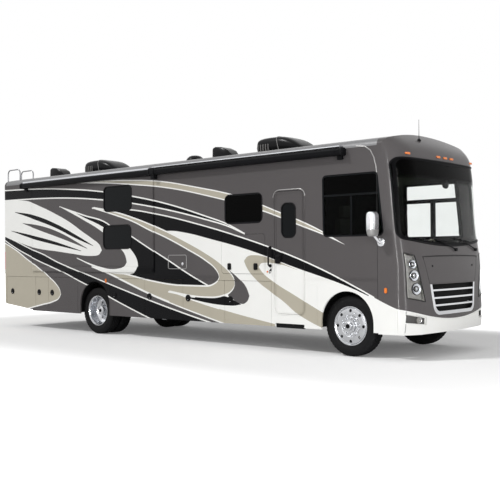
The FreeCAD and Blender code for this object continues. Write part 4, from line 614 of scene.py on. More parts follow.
class Shape:
    """A mesh under construction, in the frame of the part."""

    def __init__(self):
        self.mesh = bmesh.new()

    def round_off(self, edges, width, segments):
        bmesh.ops.bevel(self.mesh, geom=list(dict.fromkeys(edges)), offset=width, segments=segments,
                        affect="EDGES", profile=0.5)

    def block(self, low, high, bevel):
        """A box between two corners, with rounded edges."""
        low, high = Vector(low), Vector(high)
        matrix = Matrix.Translation((low + high) / 2) @ Matrix.Diagonal((*(high - low), 1))
        made = bmesh.ops.create_cube(self.mesh, size=1.0, matrix=matrix)
        self.round_off((edge for vert in made["verts"] for edge in vert.link_edges), bevel, 3)
        return self

    def turned(self, centre, axis, profile, steps=32):
        """A profile of (along, radius) points turned about an axis; ends of no radius close."""
        axis = Vector(axis).normalized()
        side = axis.orthogonal().normalized()
        other = axis.cross(side)
        rings = []
        for i in range(steps):
            angle = math.tau * i / steps
            out = side * math.cos(angle) + other * math.sin(angle)
            rings.append([self.mesh.verts.new(Vector(centre) + axis * a + out * r) for a, r in profile])
        for one, two in zip(rings, rings[1:] + rings[:1]):
            for j in range(len(profile) - 1):
                self.mesh.faces.new((one[j], two[j], two[j + 1], one[j + 1]))
        bmesh.ops.remove_doubles(self.mesh, verts=self.mesh.verts, dist=1e-6)
        return self

    def tube(self, path, radius, steps=10, closed=False):
        """A round bar along points; radius may be a list, one for each point."""
        path = [Vector(p) for p in path]
        count = len(path)
        radii = radius if isinstance(radius, (list, tuple)) else [radius] * count
        rings = []
        side = None
        for i, point in enumerate(path):
            before = path[(i - 1) % count] if closed or i else point
            after = path[(i + 1) % count] if closed or i < count - 1 else point
            along = (after - before).normalized()
            side = along.orthogonal() if side is None else side - along * side.dot(along)
            side.normalize()
            other = along.cross(side)
            rings.append([self.mesh.verts.new(point + (side * math.cos(a) + other * math.sin(a)) * radii[i])
                          for a in (math.tau * k / steps for k in range(steps))])
        for i in range(count if closed else count - 1):
            one, two = rings[i], rings[(i + 1) % count]
            for k in range(steps):
                self.mesh.faces.new((one[k], one[(k + 1) % steps], two[(k + 1) % steps], two[k]))
        if not closed:
            self.mesh.faces.new(rings[0][::-1])
            self.mesh.faces.new(rings[-1])
        return self

    def slab(self, outline, depth, bevel):
        """A flat outline of points given a thickness and rounded edges."""
        near = [self.mesh.verts.new(Vector(p)) for p in outline]
        far = [self.mesh.verts.new(Vector(p) + Vector(depth)) for p in outline]
        ends = [self.mesh.faces.new(near), self.mesh.faces.new(far[::-1])]
        count = len(outline)
        for i in range(count):
            self.mesh.faces.new((near[i], far[i], far[(i + 1) % count], near[(i + 1) % count]))
        self.round_off((edge for face in ends for edge in face.edges), bevel, 2)
        return self

    def skin(self, rows, closed=False, caps=True):
        """Faces across rows of points, each row a closed ring when asked."""
        grid = [[self.mesh.verts.new(Vector(p)) for p in row] for row in rows]
        width = len(grid[0])
        for one, two in zip(grid, grid[1:]):
            for k in range(width if closed else width - 1):
                m = (k + 1) % width
                self.mesh.faces.new((one[k], one[m], two[m], two[k]))
        if closed and caps:
            self.mesh.faces.new(grid[0][::-1])
            self.mesh.faces.new(grid[-1])
        return self

    def piece(self, name, finish, body="coach", slot=None, smooth=40, subdivide=0):
        """The finished object, riding on its body."""
        bmesh.ops.recalc_face_normals(self.mesh, faces=self.mesh.faces)
        for face in self.mesh.faces:
            face.smooth = True
        for edge in self.mesh.edges:
            if len(edge.link_faces) == 2 and edge.calc_face_angle() > math.radians(smooth):
                edge.smooth = False
        data = bpy.data.meshes.new(name)
        self.mesh.to_mesh(data)
        self.mesh.free()
        made = bpy.data.objects.new(name, data)
        scene.collection.objects.link(made)
        dress(made, finish)
        if subdivide:
            smoother = made.modifiers.new("smoother", "SUBSURF")
            smoother.levels = smoother.render_levels = subdivide
        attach(made, body)
        return made


def rounded(area, corner, inset=0.0, steps=6):
    """Points of a rounded rectangle in two coordinates, in order round it."""
    low_a, high_a, low_b, high_b = area
    low_a, high_a, low_b, high_b = low_a + inset, high_a - inset, low_b + inset, high_b - inset
    corner -= inset
    points = []
    centres = ((high_a - corner, high_b - corner), (low_a + corner, high_b - corner),
               (low_a + corner, low_b + corner), (high_a - corner, low_b + corner))
    for quarter, (a, b) in enumerate(centres):
        for i in range(steps + 1):
            angle = math.pi / 2 * (quarter + i / steps)
            points.append((a + corner * math.cos(angle), b + corner * math.sin(angle)))
    return points


surfaces = {}


def surface_of(name):
    if name not in surfaces:
        mesh = nodes[name].data
        corners = [vert.co for vert in mesh.vertices]
        surfaces[name] = BVHTree.FromPolygons(corners, [face.vertices for face in mesh.polygons])
    return surfaces[name]


far_away = 99.0
# Where the lines that look for the skin start: beside, before and above the coach
beside, before, over_all = 3.0, 8.0, 5.0


def landing(names, start, direction):
    """The first point of the named nodes that a straight line meets, or None."""
    best, least = None, far_away
    for name in names:
        point, _, _, distance = surface_of(name).ray_cast(Vector(start), Vector(direction))
        if point is not None and distance < least:
            best, least = point, distance
    return best


def on_side(names, station, z, side=RIGHT):
    """Where a point of a side view lies on the coach's side."""
    point = landing(names, (at(station), side * beside, z), (0, -side, 0))
    return point if point is not None else Vector((at(station), side * half_width, z))


def on_front(y, z, names=("front_cap", "front_bumper", "windshield")):
    """Where a point of a front view lies on the coach's nose."""
    return landing(names, (before, y, z), (-1, 0, 0))


def line_on_side(name, points, names, finish, radius, body="coach", side=RIGHT, closed=False):
    """A thin round moulding laid along points of a side view, half sunk into the skin."""
    path = [on_side(names, x, z, side) for x, z in points]
    return Shape().tube(path, radius, 8, closed).piece(name, finish, body)


def along(points, step=0.08):
    """More points along straight runs, so that a line follows a curved skin."""
    filled = []
    for one, two in zip(points, points[1:]):
        one, two = Vector(one), Vector(two)
        count = max(1, round((two - one).length / step))
        filled += [tuple(one.lerp(two, i / count)) for i in range(count)]
    return filled + [points[-1]]


# Wheels

tyre_half_width = 0.122
bead_radius = 0.290
tread_steps = 192
shoulder_inner, shoulder_radius, rib_radius = 0.075, 0.44, 0.465
shoulder_cut, rib_cut = 0.008, 0.004
lug_circle, lug_count = 0.133, 10
valve_angle = math.radians(68)
valve_circles = {"rim_front_": 0.205, "rims_rear_": 0.235}
nut_profile = [(-0.010, 0.0), (-0.010, 0.016), (0.004, 0.017), (0.006, 0.014), (0.026, 0.0135),
               (0.034, 0.009), (0.036, 0.0)]
hub_cap_profile = [(-0.002, 0.036), (0.004, 0.035), (0.005, 0.030), (0.002, 0.026), (0.002, 0.0)]


def tyre_profile():
    """(off the middle, radius) from bead to bead, with the shoulders, ribs and grooves of a highway tyre."""
    wall = [(0.088, bead_radius), (0.100, 0.297), (0.106, 0.312), (0.112, 0.325), (0.1115, 0.333),
            (0.117, 0.345), (0.1205, 0.375), (0.1205, 0.392), (0.1175, 0.396), (0.1165, 0.420),
            (0.1150, 0.424), (0.1120, 0.445), (0.1060, 0.459), (0.0980, 0.4665)]
    crown = []
    for middle_of_groove in (0.068, 0.024):
        for step, radius in ((0.007, 0.4715), (0.005, 0.459), (-0.005, 0.459), (-0.007, 0.4718)):
            crown.append((middle_of_groove + step, radius))
    half = wall + crown + [(0.009, 0.4722)]
    return half + [(-a, r) for a, r in reversed(half)]


def tyre(shape, centre, side):
    """One tyre: the profile turned, with cuts across its shoulders and ribs."""
    profile = tyre_profile()
    rows = []
    for i in range(tread_steps):
        angle = math.tau * i / tread_steps
        row = []
        for off, radius in profile:
            shoulder = abs(off) > shoulder_inner and radius > shoulder_radius
            rib = abs(off) < shoulder_inner and radius > rib_radius
            cut = shoulder_cut if shoulder and i % 4 == 0 else rib_cut if rib and i % 4 == 2 else 0.0
            x = centre.x + (radius - cut) * math.cos(angle)
            z = centre.z + (radius - cut) * math.sin(angle)
            row.append((x, centre.y + off * side, z))
        rows.append(row)
    shape.skin(rows + rows[:1])


def make_tyres():
    for name, node in nodes.items():
        if not name.startswith("tyre"):
            continue
        low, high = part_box(name)
        centre = (low + high) / 2
        twin = high.y - low.y > 3 * tyre_half_width
        shape = Shape()
        for y in (low.y + tyre_half_width, high.y - tyre_half_width) if twin else (centre.y,):
            tyre(shape, Vector((centre.x, y, centre.z)), side_of(name))
        bmesh.ops.remove_doubles(shape.mesh, verts=shape.mesh.verts, dist=1e-5)
        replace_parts(shape.piece(name + "_tread", "tyre_rubber", node["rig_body"], smooth=28), name)


def wheel_details(rim, valve_circle):
    """Lug covers, the hub's cap with its dark centre and the valve of one outer rim."""
    low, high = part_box(rim)
    side = side_of(rim)
    centre = (low + high) / 2
    body = nodes[rim]["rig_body"]
    out = Vector((0, side, 0))

    def seat(radius, angle):
        """Where the rim's outer face lies at a radius and an angle."""
        x, z = centre.x + radius * math.cos(angle), centre.z + radius * math.sin(angle)
        return landing((rim,), (x, centre.y + side * 2.0, z), (0, -side, 0))

    nuts = Shape()
    for i in range(lug_count):
        nuts.turned(seat(lug_circle, math.tau * (i + 0.5) / lug_count), out, nut_profile, 12)
    nuts.piece(rim + "_lug_covers", "chrome", body)
    Shape().turned(seat(0.0, 0.0), out, hub_cap_profile, 28).piece(rim + "_hub_cap", "black_plastic", body)
    stem = seat(valve_circle, valve_angle)
    valve = Shape().tube([stem, stem + out * 0.02, stem + out * 0.032 + Vector((0.006, 0, 0.01))], 0.005)
    valve.piece(rim + "_valve", "chrome", body)


def make_wheel_details():
    for _, tag in SIDES:
        for rim, valve_circle in valve_circles.items():
            wheel_details(rim + tag, valve_circle)


# Side fittings

latch_radius, latch_height = 0.062, 0.81
latch_inset, rearmost_latch_inset = 0.132, 0.222
right_out = (0, -1, 0)
right_skin = ("wall_right", "skirt_right", "slide_right")
slide_spans = {"right": (-8.36, -4.392), "left": (-7.284, -2.316)}


def paddle_latch(door, station):
    """A round flush latch with its paddle and key barrel."""
    side, body = side_of(door), nodes[door]["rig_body"]
    seat = on_side((door,), station, latch_height, side)
    out = Vector((0, side, 0))
    r = latch_radius
    rim = [(-0.004, r), (0.004, r), (0.0065, r - 0.003), (0.0065, r - 0.009), (0.002, r - 0.012),
           (0.002, 0.0)]
    face = seat + out * 0.003
    shape = Shape().turned(seat, out, rim)
    shape.block(face + Vector((-0.030, -0.003, -0.022)), face + Vector((0.030, 0.003, 0.026)), 0.0025)
    shape.piece(door + "_latch", "black_plastic", body)
    key = face + out * 0.003 + Vector((0, 0, -0.032))
    barrel = [(-0.004, 0.0075), (0.002, 0.007), (0.002, 0.002), (0.0, 0.0)]
    Shape().turned(key, out, barrel, 14).piece(door + "_latch_key", "chrome", body)


def make_latches():
    """One latch on each baggage door and two on the outside hatch."""
    for name in sorted(nodes):
        if name.startswith("baggage_door_"):
            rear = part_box(name)[0].x - front_axle
            paddle_latch(name, rear + (rearmost_latch_inset if rear < -9.0 else latch_inset))
    for tag, station in (("rear", -2.44), ("front", -1.84)):
        x, y = at(station), on_side(("outside_hatch",), station, 1.385).y
        plate = [(x + a, y + 0.001, b) for a, b in rounded((-0.043, 0.043, 1.328, 1.442), 0.02)]
        shape = Shape().slab(plate, (0, -0.004, 0), 0.0015)
        shape.block((x - 0.026, y - 0.008, 1.345), (x + 0.026, y, 1.415), 0.003)
        shape.piece(f"hatch_latch_{tag}", "black_plastic", "outside_hatch")


def make_door_handle():
    y = on_side(("entry_door",), -1.35, 1.51).y
    plate = [(at(-1.35) + a, y + 0.002, b) for a, b in rounded((-0.055, 0.055, 1.435, 1.585), 0.022)]
    shape = Shape().slab(plate, (0, -0.008, 0), 0.003)
    shape.block((at(-1.395), y - 0.030, 1.535), (at(-1.305), y - 0.004, 1.562), 0.006)
    shape.block((at(-1.385), y - 0.014, 1.455), (at(-1.315), y - 0.004, 1.515), 0.004)
    shape.piece("entry_door_handle", "black_plastic", "entry_door")


def make_grab_rail():
    """The rail beside the entry door, and under it the hook for the open door and the bell push."""
    high, low = on_side(("wall_right",), -1.52, 1.70), on_side(("wall_right",), -1.52, 1.40)
    reach, turn = Vector((0, -0.055, 0)), Vector((0, 0, 0.02))
    bar = [high, high + reach * 0.7, high + reach - turn, low + reach + turn, low + reach * 0.7, low]
    rail = Shape().tube(bar, 0.014, 12)
    for end in (high, low):
        rail.turned(end, right_out, [(-0.002, 0.030), (0.006, 0.029), (0.010, 0.018), (0.010, 0.0)], 20)
    rail.piece("grab_rail", "black_plastic")
    hook = on_side(("wall_right",), -1.51, 1.33)
    bends = ((0, 0, 0), (0, -0.03, -0.005), (0, -0.05, -0.03), (0.01, -0.045, -0.055), (0.02, -0.03, -0.04))
    shape = Shape().tube([hook + Vector(bend) for bend in bends], 0.006)
    shape.block(hook + Vector((-0.014, -0.005, -0.022)), hook + Vector((0.014, 0.001, 0.022)), 0.002)
    shape.piece("door_hold_hook", "black_plastic")
    push = [(-0.002, 0.016), (0.006, 0.015), (0.008, 0.010), (0.008, 0.0)]
    bell = Shape().turned(on_side(("wall_right",), -1.585, 1.30), right_out, push, 20)
    bell.piece("bell_push", "amber_lens")


def make_door_mouldings():
    """The moulding round the entry door's opening, the drip edge over it, light grey as a painted highlight,
    and the covers of its hinges.
    """
    line_on_side("door_moulding", rounded((-1.437, -0.80, 0.60, 2.632), 0.115), ("wall_right", "skirt_right"),
                 "coach_paint", 0.009, closed=True)
    # The drip edge's light grey stands for the highlight along the top of the door moulding: a painted
    # highlight
    drip = [point for point in rounded((-1.447, -0.79, 1.55, 2.643), 0.12) if point[1] > 2.0]
    line_on_side("door_drip_edge_and_highlight", drip, ("wall_right",), "light_trim", 0.0085)
    x, y = at(-0.800), on_side(("wall_right",), -0.789, 1.0).y - 0.004
    covers = Shape()
    for z in (0.75, 1.30, 1.85):
        covers.tube([(x, y, z), (x, y, z + 0.45)], 0.007, 10)
    covers.piece("door_hinge_covers", "coach_paint")


def make_slide_edges():
    """The lower flange and the raised edge on the face of each slide out room."""
    for side, tag in SIDES:
        start, end = slide_spans[tag]
        body = "slide_" + tag
        face = on_side(("slide_right", "slide_left"), (start + end) / 2, 1.31, side).y
        outline = [(start, 1.285), (start + 0.05, 1.266), (end - 0.05, 1.266), (end, 1.285), (end, 1.345),
                   (end - 0.035, 1.37), (start + 0.035, 1.37), (start, 1.345)]
        flange = Shape().slab([(at(x), face, z) for x, z in outline], (0, side * 0.010, 0), 0.003)
        flange.piece(body + "_flange", "coach_paint", body)
        edge = rounded((start + 0.004, end - 0.004, 1.385, 3.080), 0.03)
        ring = Shape().tube([(at(x), face, z) for x, z in edge], 0.005, 8, closed=True)
        ring.piece(body + "_edge", "coach_paint", body)


def make_side_lines():
    """The access panel with its lock, the panels' borders, the front cap's seam and its mouldings."""
    panel = rounded((-3.99, -3.51, 1.34, 1.59), 0.03)
    line_on_side("access_panel_edge", panel, right_skin, "light_trim", 0.006, closed=True)
    lock = [(-0.002, 0.028), (0.006, 0.027), (0.010, 0.020), (0.010, 0.009), (0.004, 0.008), (0.004, 0.0)]
    seat = on_side(right_skin, -3.61, 1.43)
    Shape().turned(seat, right_out, lock, 24).piece("access_panel_lock", "chrome")
    border = along([(-0.56, 0.45), (-0.56, 1.10), (-0.80, 1.13)])
    line_on_side("arch_panel_edge", border, right_skin, "coach_paint", 0.004)
    belt = along([(-8.36, 1.235), (-4.40, 1.235)], 0.3)
    line_on_side("belt_edge", belt, ("wall_right",), "coach_paint", 0.006)
    seam = along([(0.563, 0.92), (0.563, 2.80)], 0.2)
    line_on_side("cap_seam", seam, ("wall_right", "front_cap", "skirt_right"), "seam_dark", 0.0035)
    corner = [(0.20, 3.225), (0.36, 3.205), (0.455, 3.14), (0.515, 3.03), (0.55, 2.90), (0.563, 2.80)]
    for side, tag in SIDES:
        skin = (f"wall_{tag}", "front_cap", "roof_panel")
        line_on_side(f"cap_moulding_{tag}", along(corner, 0.05), skin, "light_trim", 0.010, side=side)


def make_window_gaskets():
    """Rubber lips round the windows of the slide out rooms and of the door."""
    for side, tag in SIDES:
        body = "slide_" + tag
        for number, area in enumerate(slide_windows[tag], 1):
            ring = rounded(area, shown_corner, 0.01)
            line_on_side(f"{body}_gasket_{number}", ring, (body + "_windows", body), "black_plastic", 0.011,
                         body, side, True)
    line_on_side("door_window_gasket", rounded(door_window, shown_corner, 0.01),
                 ("entry_door_window", "entry_door"), "black_plastic", 0.010, "entry_door", closed=True)


# Awning and roof

def make_awning():
    """The bright strips over the cases, their end brackets and the bands round the main one."""
    case_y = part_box("awning")[0].y
    back = -half_width + 0.01
    strip = Shape()
    for start, end, low, high in ((-4.33, -0.05, 3.232, 3.252), (-8.60, -4.42, 3.205, 3.245)):
        section = [(0.055, low - 0.004), (0.040, low + 0.004), (0.048, high - 0.003), (0.075, high)]
        section = [(case_y + off, z) for off, z in section]
        section += [(back, high), (back, high - 0.008), (case_y + 0.075, low)]
        strip.skin([[(at(station), y, z) for y, z in section] for station in (start, end)], closed=True)
    strip.piece("awning_rail", "rail_metal")
    ends = Shape()
    for station in (-8.655, -4.405, -4.28, -0.015):
        outline = [(at(station), y, z) for y, z in rounded((case_y - 0.004, back, 3.088, 3.216), 0.045)]
        ends.slab(outline, (0.028, 0, 0), 0.004)
    ends.block((at(-4.405), case_y + 0.006, 3.100), (at(-4.26), back, 3.225), 0.01)
    ends.block((at(-4.360), case_y + 0.030, 3.020), (at(-4.270), back + 0.01, 3.110), 0.01)
    ends.piece("awning_brackets", "black_plastic")
    bands = Shape()
    for station in (-4.2, -2.16, -0.12):
        bands.turned((at(station), case_y + 0.062, 3.158), (1, 0, 0), [(0, 0.0615), (0.012, 0.0615)])
    bands.piece("awning_bands", "awning_case")


roof_line = 3.45
shroud_length, shroud_rise, shroud_sunk = 0.98, 0.275, 0.03
shroud_seam = 0.47
# Along a shroud: (share of its length, half of its width, share of its height)
SHROUD = [(0.00, 0.325, 0.78), (0.015, 0.338, 0.90), (0.10, 0.348, 1.00), (0.50, 0.350, 0.99),
          (0.62, 0.346, 0.94), (0.78, 0.330, 0.76), (0.90, 0.305, 0.52), (0.97, 0.275, 0.34),
          (1.0, 0.25, 0.22)]
# Across it: (share of the half width, share of the height)
SHROUD_SIDE = [(1.0, 0.0), (0.985, 0.45), (0.955, 0.72), (0.90, 0.85), (0.80, 0.95), (0.62, 0.99),
               (0.30, 1.0)]
vent_places = (("roof_vent_rear", -8.77, -8.33), ("roof_vent_middle", -3.56, -3.12))
vent_y, vent_half, vent_rise, vent_sunk = -0.35, 0.155, 0.215, 0.035
# Along a vent's cover: (share of its length, share of its height, less of its half width)
VENT = [(0.0, 0.92, 0.0), (0.10, 1.0, 0.0), (0.45, 0.93, 0.0), (0.80, 0.62, 0.01), (1.0, 0.20, 0.04)]
dome_place = (-4.68, 0.14)
dome_profile = [(-0.04, 0.185), (0.070, 0.185), (0.085, 0.180), (0.115, 0.160), (0.150, 0.120),
                (0.165, 0.075), (0.170, 0.0)]
aerial_place = (0.81, -0.446)
aerial_foot = [(-0.004, 0.034), (0.008, 0.033), (0.022, 0.022), (0.034, 0.011), (0.038, 0.0)]


def make_air_conditioner(tag, rear):
    """One roof unit: a flat-topped shroud with a steep louvred back and a long falling nose."""
    name = f"air_conditioner_{tag}_"
    base = roof_line - shroud_sunk
    height = shroud_rise + shroud_sunk
    rows = []
    for share, half, rise in SHROUD:
        x = at(rear + share * shroud_length)
        right = [(x, -half * a, base + height * rise * b) for a, b in SHROUD_SIDE]
        rows.append(right + [(x, -y, z) for _, y, z in reversed(right)])
    cover = Shape().skin(rows, closed=True).piece(name + "shroud", "shroud_plastic", subdivide=1)
    line = []
    for side, sections in ((1, SHROUD_SIDE), (-1, SHROUD_SIDE[::-1])):
        for a, b in sections:
            x = at(rear + shroud_seam * shroud_length + 0.10 * (1 - b))
            line.append((x, -side * 0.350 * a, base + height * 0.99 * b))
    Shape().tube(line, 0.005, 6).piece(name + "seam", "light_trim", slot="shroud_plastic")
    slats = Shape()
    x = at(rear)
    for k in range(9):
        y = 0.06 * (k - 4)
        slats.block((x - 0.005, y - 0.011, base + 0.05), (x + 0.03, y + 0.011, base + 0.20), 0.004)
    for k in range(5):
        x = at(rear + 0.05 + 0.06 * k)
        for side, _ in SIDES:
            low_y, high_y = sorted((side * 0.325, side * 0.352))
            slats.block((x, low_y, base + 0.05), (x + 0.02, high_y, base + 0.17), 0.003)
    slats.piece(name + "louvres", "louvre_grey")
    return cover


def wedge_vent(name, rear, front):
    """A roof vent's cover: high at the rear, falling to the front, with a light edge round its mouth."""
    rows = []
    y, base = vent_y, roof_line - vent_sunk
    for share, up, inset in VENT:
        x, high, h = at(rear + share * (front - rear)), base + vent_rise * up, vent_half - inset
        rows.append([(x, y - h, base), (x, y - h * 0.97, high - 0.03), (x, y - h * 0.85, high),
                     (x, y + h * 0.85, high), (x, y + h * 0.97, high - 0.03), (x, y + h, base)])
    cover = Shape().skin(rows, closed=True).piece(name, "shroud_plastic", smooth=35)
    mouth = Shape().tube([Vector(p) + Vector((-0.002, 0, 0)) for p in rows[0]], 0.006, 8)
    x, half = at(rear), vent_half - 0.02
    for k in range(5):
        z = base + 0.03 + 0.030 * k
        mouth.block((x - 0.006, y - half, z), (x + 0.01, y + half, z + 0.010), 0.002)
    mouth.piece(name + "_louvres", "louvre_grey")
    return cover


def make_aerial():
    x, y = at(aerial_place[0]), aerial_place[1]
    foot = landing(("front_cap", "roof_panel"), (x, y, over_all), (0, 0, -1))
    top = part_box("roof_fittings")[1].z
    rod = [foot + Vector((0, 0, 0.03)), Vector((x, y, foot.z + 0.14)), Vector((x, y, top))]
    shape = Shape().turned(foot, (0, 0, 1), aerial_foot, 24).tube(rod, [0.006, 0.004, 0.0028], 8)
    return shape.piece("roof_aerial", "black_plastic")


def make_roof():
    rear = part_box("air_conditioners")[0].x - front_axle
    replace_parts(make_air_conditioner("rear", rear), "air_conditioners")
    make_air_conditioner("front", -2.625)
    fittings = [wedge_vent(*place) for place in vent_places]
    dome = Shape().turned((at(dome_place[0]), dome_place[1], roof_line), (0, 0, 1), dome_profile, 40)
    fittings.append(dome.piece("roof_dome", "shroud_plastic", smooth=50))
    fittings.append(make_aerial())
    for piece in fittings:
        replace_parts(piece, "roof_fittings")


# Front end

# Corners as (y, z): outer top, inner top, inner bottom, outer bottom
headlamp_corners = ((1.192, 1.574), (1.066, 1.542), (0.886, 0.884), (1.174, 0.948))
fog_corners = ((1.197, 0.686), (0.866, 0.624), (0.869, 0.533), (1.205, 0.569))
# Bowls as (y, z, radius)
headlamps = ((1.075, 1.425, 0.066), (1.058, 1.258, 0.080), (1.020, 1.060, 0.084))
fog_place = (0.985, 0.598, 0.040)
# Corners of the dark edge round the headlamps, in the same order
lamp_edge = [(1.207, 1.594), (1.049, 1.556), (0.864, 0.864), (1.187, 0.930)]
lens_nodes = ("headlamp_lenses", "front_cap", "lamp_units")
bumper_nodes = ("front_bumper", "front_cap")


def lamp_axis(side):
    return Vector((0.92, side * 0.39, 0.0))


def outline_of_glass(inset):
    """Points round the windshield's edge, found by stepping outwards in the front view."""
    low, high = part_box("windshield")
    middle_z = (low.z + high.z) / 2
    count, halvings, farthest = 240, 18, 1.6
    points = []
    for i in range(count):
        angle = math.tau * i / count
        y_step, z_step = math.cos(angle), math.sin(angle)
        near, far = 0.0, farthest
        for _ in range(halvings):
            reach = (near + far) / 2
            hit = on_front(y_step * reach, middle_z + z_step * reach, ("windshield",))
            near, far = (reach, far) if hit is not None else (near, reach)
        reach = near - inset
        points.append(on_front(y_step * reach, middle_z + z_step * reach, ("windshield",)))
    return points


def make_windshield_trim():
    edge = outline_of_glass(0.004)
    Shape().tube(edge, 0.013, 8, closed=True).piece("windshield_gasket", "black_plastic")
    proud = Vector((0.002, 0, 0))
    rows = [[point + proud for point in outline_of_glass(inset)] for inset in (0.004, 0.030, 0.056)]
    Shape().skin(rows, closed=True, caps=False).piece("windshield_border", "glass_border")


def front_line(name, points, radius, proud=0.0):
    """A dark seam laid along points of a front view."""
    found = [on_front(y, z, ("front_cap", "front_bumper")) for y, z in along(points, 0.06)]
    path = [point + Vector((proud, 0, 0)) for point in found if point is not None]
    Shape().tube(path, radius, 8).piece(name, "seam_dark")


def make_front_lines():
    """The hood's seam and locks and the bumper's joints."""
    half = [(0.45, 1.545), (0.87, 1.535), (0.80, 1.33), (0.735, 1.135)]
    hood = [(-y, z) for y, z in reversed(half)] + [(0.0, 1.55)] + half
    front_line("hood_seam", hood, 0.008, 0.002)
    lock = [(-0.002, 0.016), (0.006, 0.015), (0.007, 0.007), (0.003, 0.006), (0.003, 0.0)]
    for side, tag in SIDES:
        seat = on_front(side * 0.643, 1.393)
        Shape().turned(seat, (1, 0, 0.12), lock, 18).piece(f"hood_lock_{tag}", "black_plastic")
        front_line(f"bumper_joint_{tag}", [(side * 1.205, 0.74), (side * 1.212, 0.42)], 0.0035)


def across(corners, u, v):
    """A point of a four-cornered area: u runs from its outer to its inner edge, v from top to bottom."""
    outer_top, inner_top, inner_low, outer_low = (Vector(corner) for corner in corners)
    return outer_top.lerp(inner_top, u).lerp(outer_low.lerp(inner_low, u), v)


def front_plate(corners, side, names, near, far):
    """A plate that follows the nose: its front and back lie at two depths along the lamps' axis."""
    axis = lamp_axis(side)
    columns, lines = 8, 16
    rows = []
    for j in range(lines + 1):
        places = [across(corners, i / columns, j / lines) for i in range(columns + 1)]
        points = [on_front(side * y, z, names) for y, z in places]
        rows.append([point - axis * near for point in points])
        rows[-1] += [point - axis * far for point in points[::-1]]
    return Shape().skin(rows, closed=True)


def front_normal(y, z, names, reach=0.05):
    """The way out of the nose at a place, from points round it."""
    across_y = on_front(y + reach, z, names) - on_front(y - reach, z, names)
    across_z = on_front(y, z + reach, names) - on_front(y, z - reach, names)
    return across_y.cross(across_z).normalized()


def lamp_bowl(name, centre, out, r):
    """A bright dish with a dark ring round its bulb, which is a painted dark reflection, and a dark edge."""
    dish = [(-0.020, r * 0.86), (-0.004, r * 0.98), (0.0, r), (0.002, r - 0.004), (-0.003, r - 0.009),
            (-0.010, r * 0.66), (-0.0135, r * 0.44), (-0.014, 0.0)]
    # The dark ring stands for the dark reflections in the bowl: a painted reflection
    ring = [(-0.016, r * 0.56), (-0.006, r * 0.54), (-0.006, r * 0.42), (-0.016, r * 0.40)]
    edge = [(-0.020, r * 1.06), (0.001, r * 1.07), (0.001, r * 0.99), (-0.004, r * 0.98)]
    bulb = [(-0.014, r * 0.26), (-0.002, r * 0.24), (0.003, r * 0.12), (0.004, 0.0)]
    parts = [("dish", dish, 40, "chrome"), ("ring", ring, 32, "black_plastic"),
             ("edge", edge, 40, "black_plastic"), ("bulb", bulb, 24, "reflector")]
    for part, profile, steps, finish in parts:
        Shape().turned(centre, out, profile, steps).piece(f"{name}_{part}", finish)


def make_lamps():
    """The bezels and bowls behind the headlamp lenses, their dark edges, and the fog lamps in the bumper."""
    for side, tag in SIDES:
        axis = lamp_axis(side)
        plate = front_plate(headlamp_corners, side, lens_nodes, 0.029, 0.032)
        plate.piece(f"headlamp_bezel_{tag}", "lamp_bezel", smooth=60)
        for number, (y, z, radius) in enumerate(headlamps, 1):
            out = front_normal(side * y, z, lens_nodes)
            centre = on_front(side * y, z, lens_nodes) - out * 0.017
            lamp_bowl(f"headlamp_{tag}_{number}", centre, out, radius)
        edge = []
        for one, two in zip(lamp_edge, lamp_edge[1:] + lamp_edge[:1]):
            for k in range(10):
                y, z = Vector(one).lerp(Vector(two), k / 10)
                edge.append(on_front(side * y, z, lens_nodes) + axis * 0.001)
        Shape().tube(edge, 0.008, 8, closed=True).piece(f"headlamp_edge_{tag}", "seam_dark")
        plate = front_plate(fog_corners, side, bumper_nodes, -0.004, 0.004)
        plate.piece(f"fog_lamp_plate_{tag}", "fog_plate", smooth=60)
        y, z, radius = fog_place
        seat = on_front(side * y, z, bumper_nodes) + axis * 0.022
        lamp_bowl(f"fog_lamp_{tag}", seat, axis.normalized(), radius)


# Mirrors

# From the coach's side to a mirror's middle, and the halves of its shell
mirror_reach, mirror_half_width, mirror_half_depth = 0.1705, 0.105, 0.075
# Up a mirror's shell: (height, share of its half width, share of its half depth)
MIRROR = [(1.838, 0.62, 0.40), (1.850, 0.80, 0.62), (1.880, 0.90, 0.80), (1.940, 0.95, 0.92),
          (2.050, 1.0, 1.0), (2.150, 0.99, 0.97), (2.185, 0.93, 0.85), (2.202, 0.80, 0.60),
          (2.208, 0.55, 0.35)]


def mirror_rows(x, y):
    """Rings up a mirror's shell, each rounded at its corners and flat at the back."""
    steps = 24
    rows = []
    for z, wide, deep in MIRROR:
        row = []
        for k in range(steps):
            angle = math.tau * k / steps
            c, s = math.cos(angle), math.sin(angle)
            out = math.copysign(abs(s) ** 0.55, s) * mirror_half_width * wide
            ahead = math.copysign(abs(c) ** 0.75, c) * mirror_half_depth * deep
            row.append((x + max(ahead, -0.045), y + out, z))
        rows.append(row)
    return rows


def make_mirrors():
    """Each mirror: a bright shell with a grey lower part, its glass, the bent arm and the oval foot."""
    low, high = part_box("mirrors")
    x = (low.x + high.x) / 2 - 0.01
    head = half_width + mirror_reach
    for side, tag in SIDES:
        name = f"mirror_{tag}_"
        y = side * head
        rows = mirror_rows(x, y)
        shell = Shape().skin(rows, closed=True).piece(name + "shell", "mirror_shell", smooth=50, subdivide=1)
        if side == RIGHT:
            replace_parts(shell, "mirrors")
        lower = [[(p[0] + (0.003 if p[0] > x else -0.001), p[1] + math.copysign(0.002, p[1] - y), p[2])
                  for p in row] for row in rows[:4]]
        Shape().skin(lower, closed=True).piece(name + "lower", "light_trim", slot="mirror_shell")
        glass = [(x - 0.047, y + a, b) for a, b in rounded((-0.088, 0.088, 1.90, 2.18), 0.03)]
        Shape().slab(glass, (-0.004, 0, 0), 0.001).piece(name + "glass", "mirror_glass")
        arm = mirror_arm(side, Vector((x + 0.01, side * (head - 0.02), 1.86)))
        arm.piece(name + "arm", "mirror_shell", smooth=50)


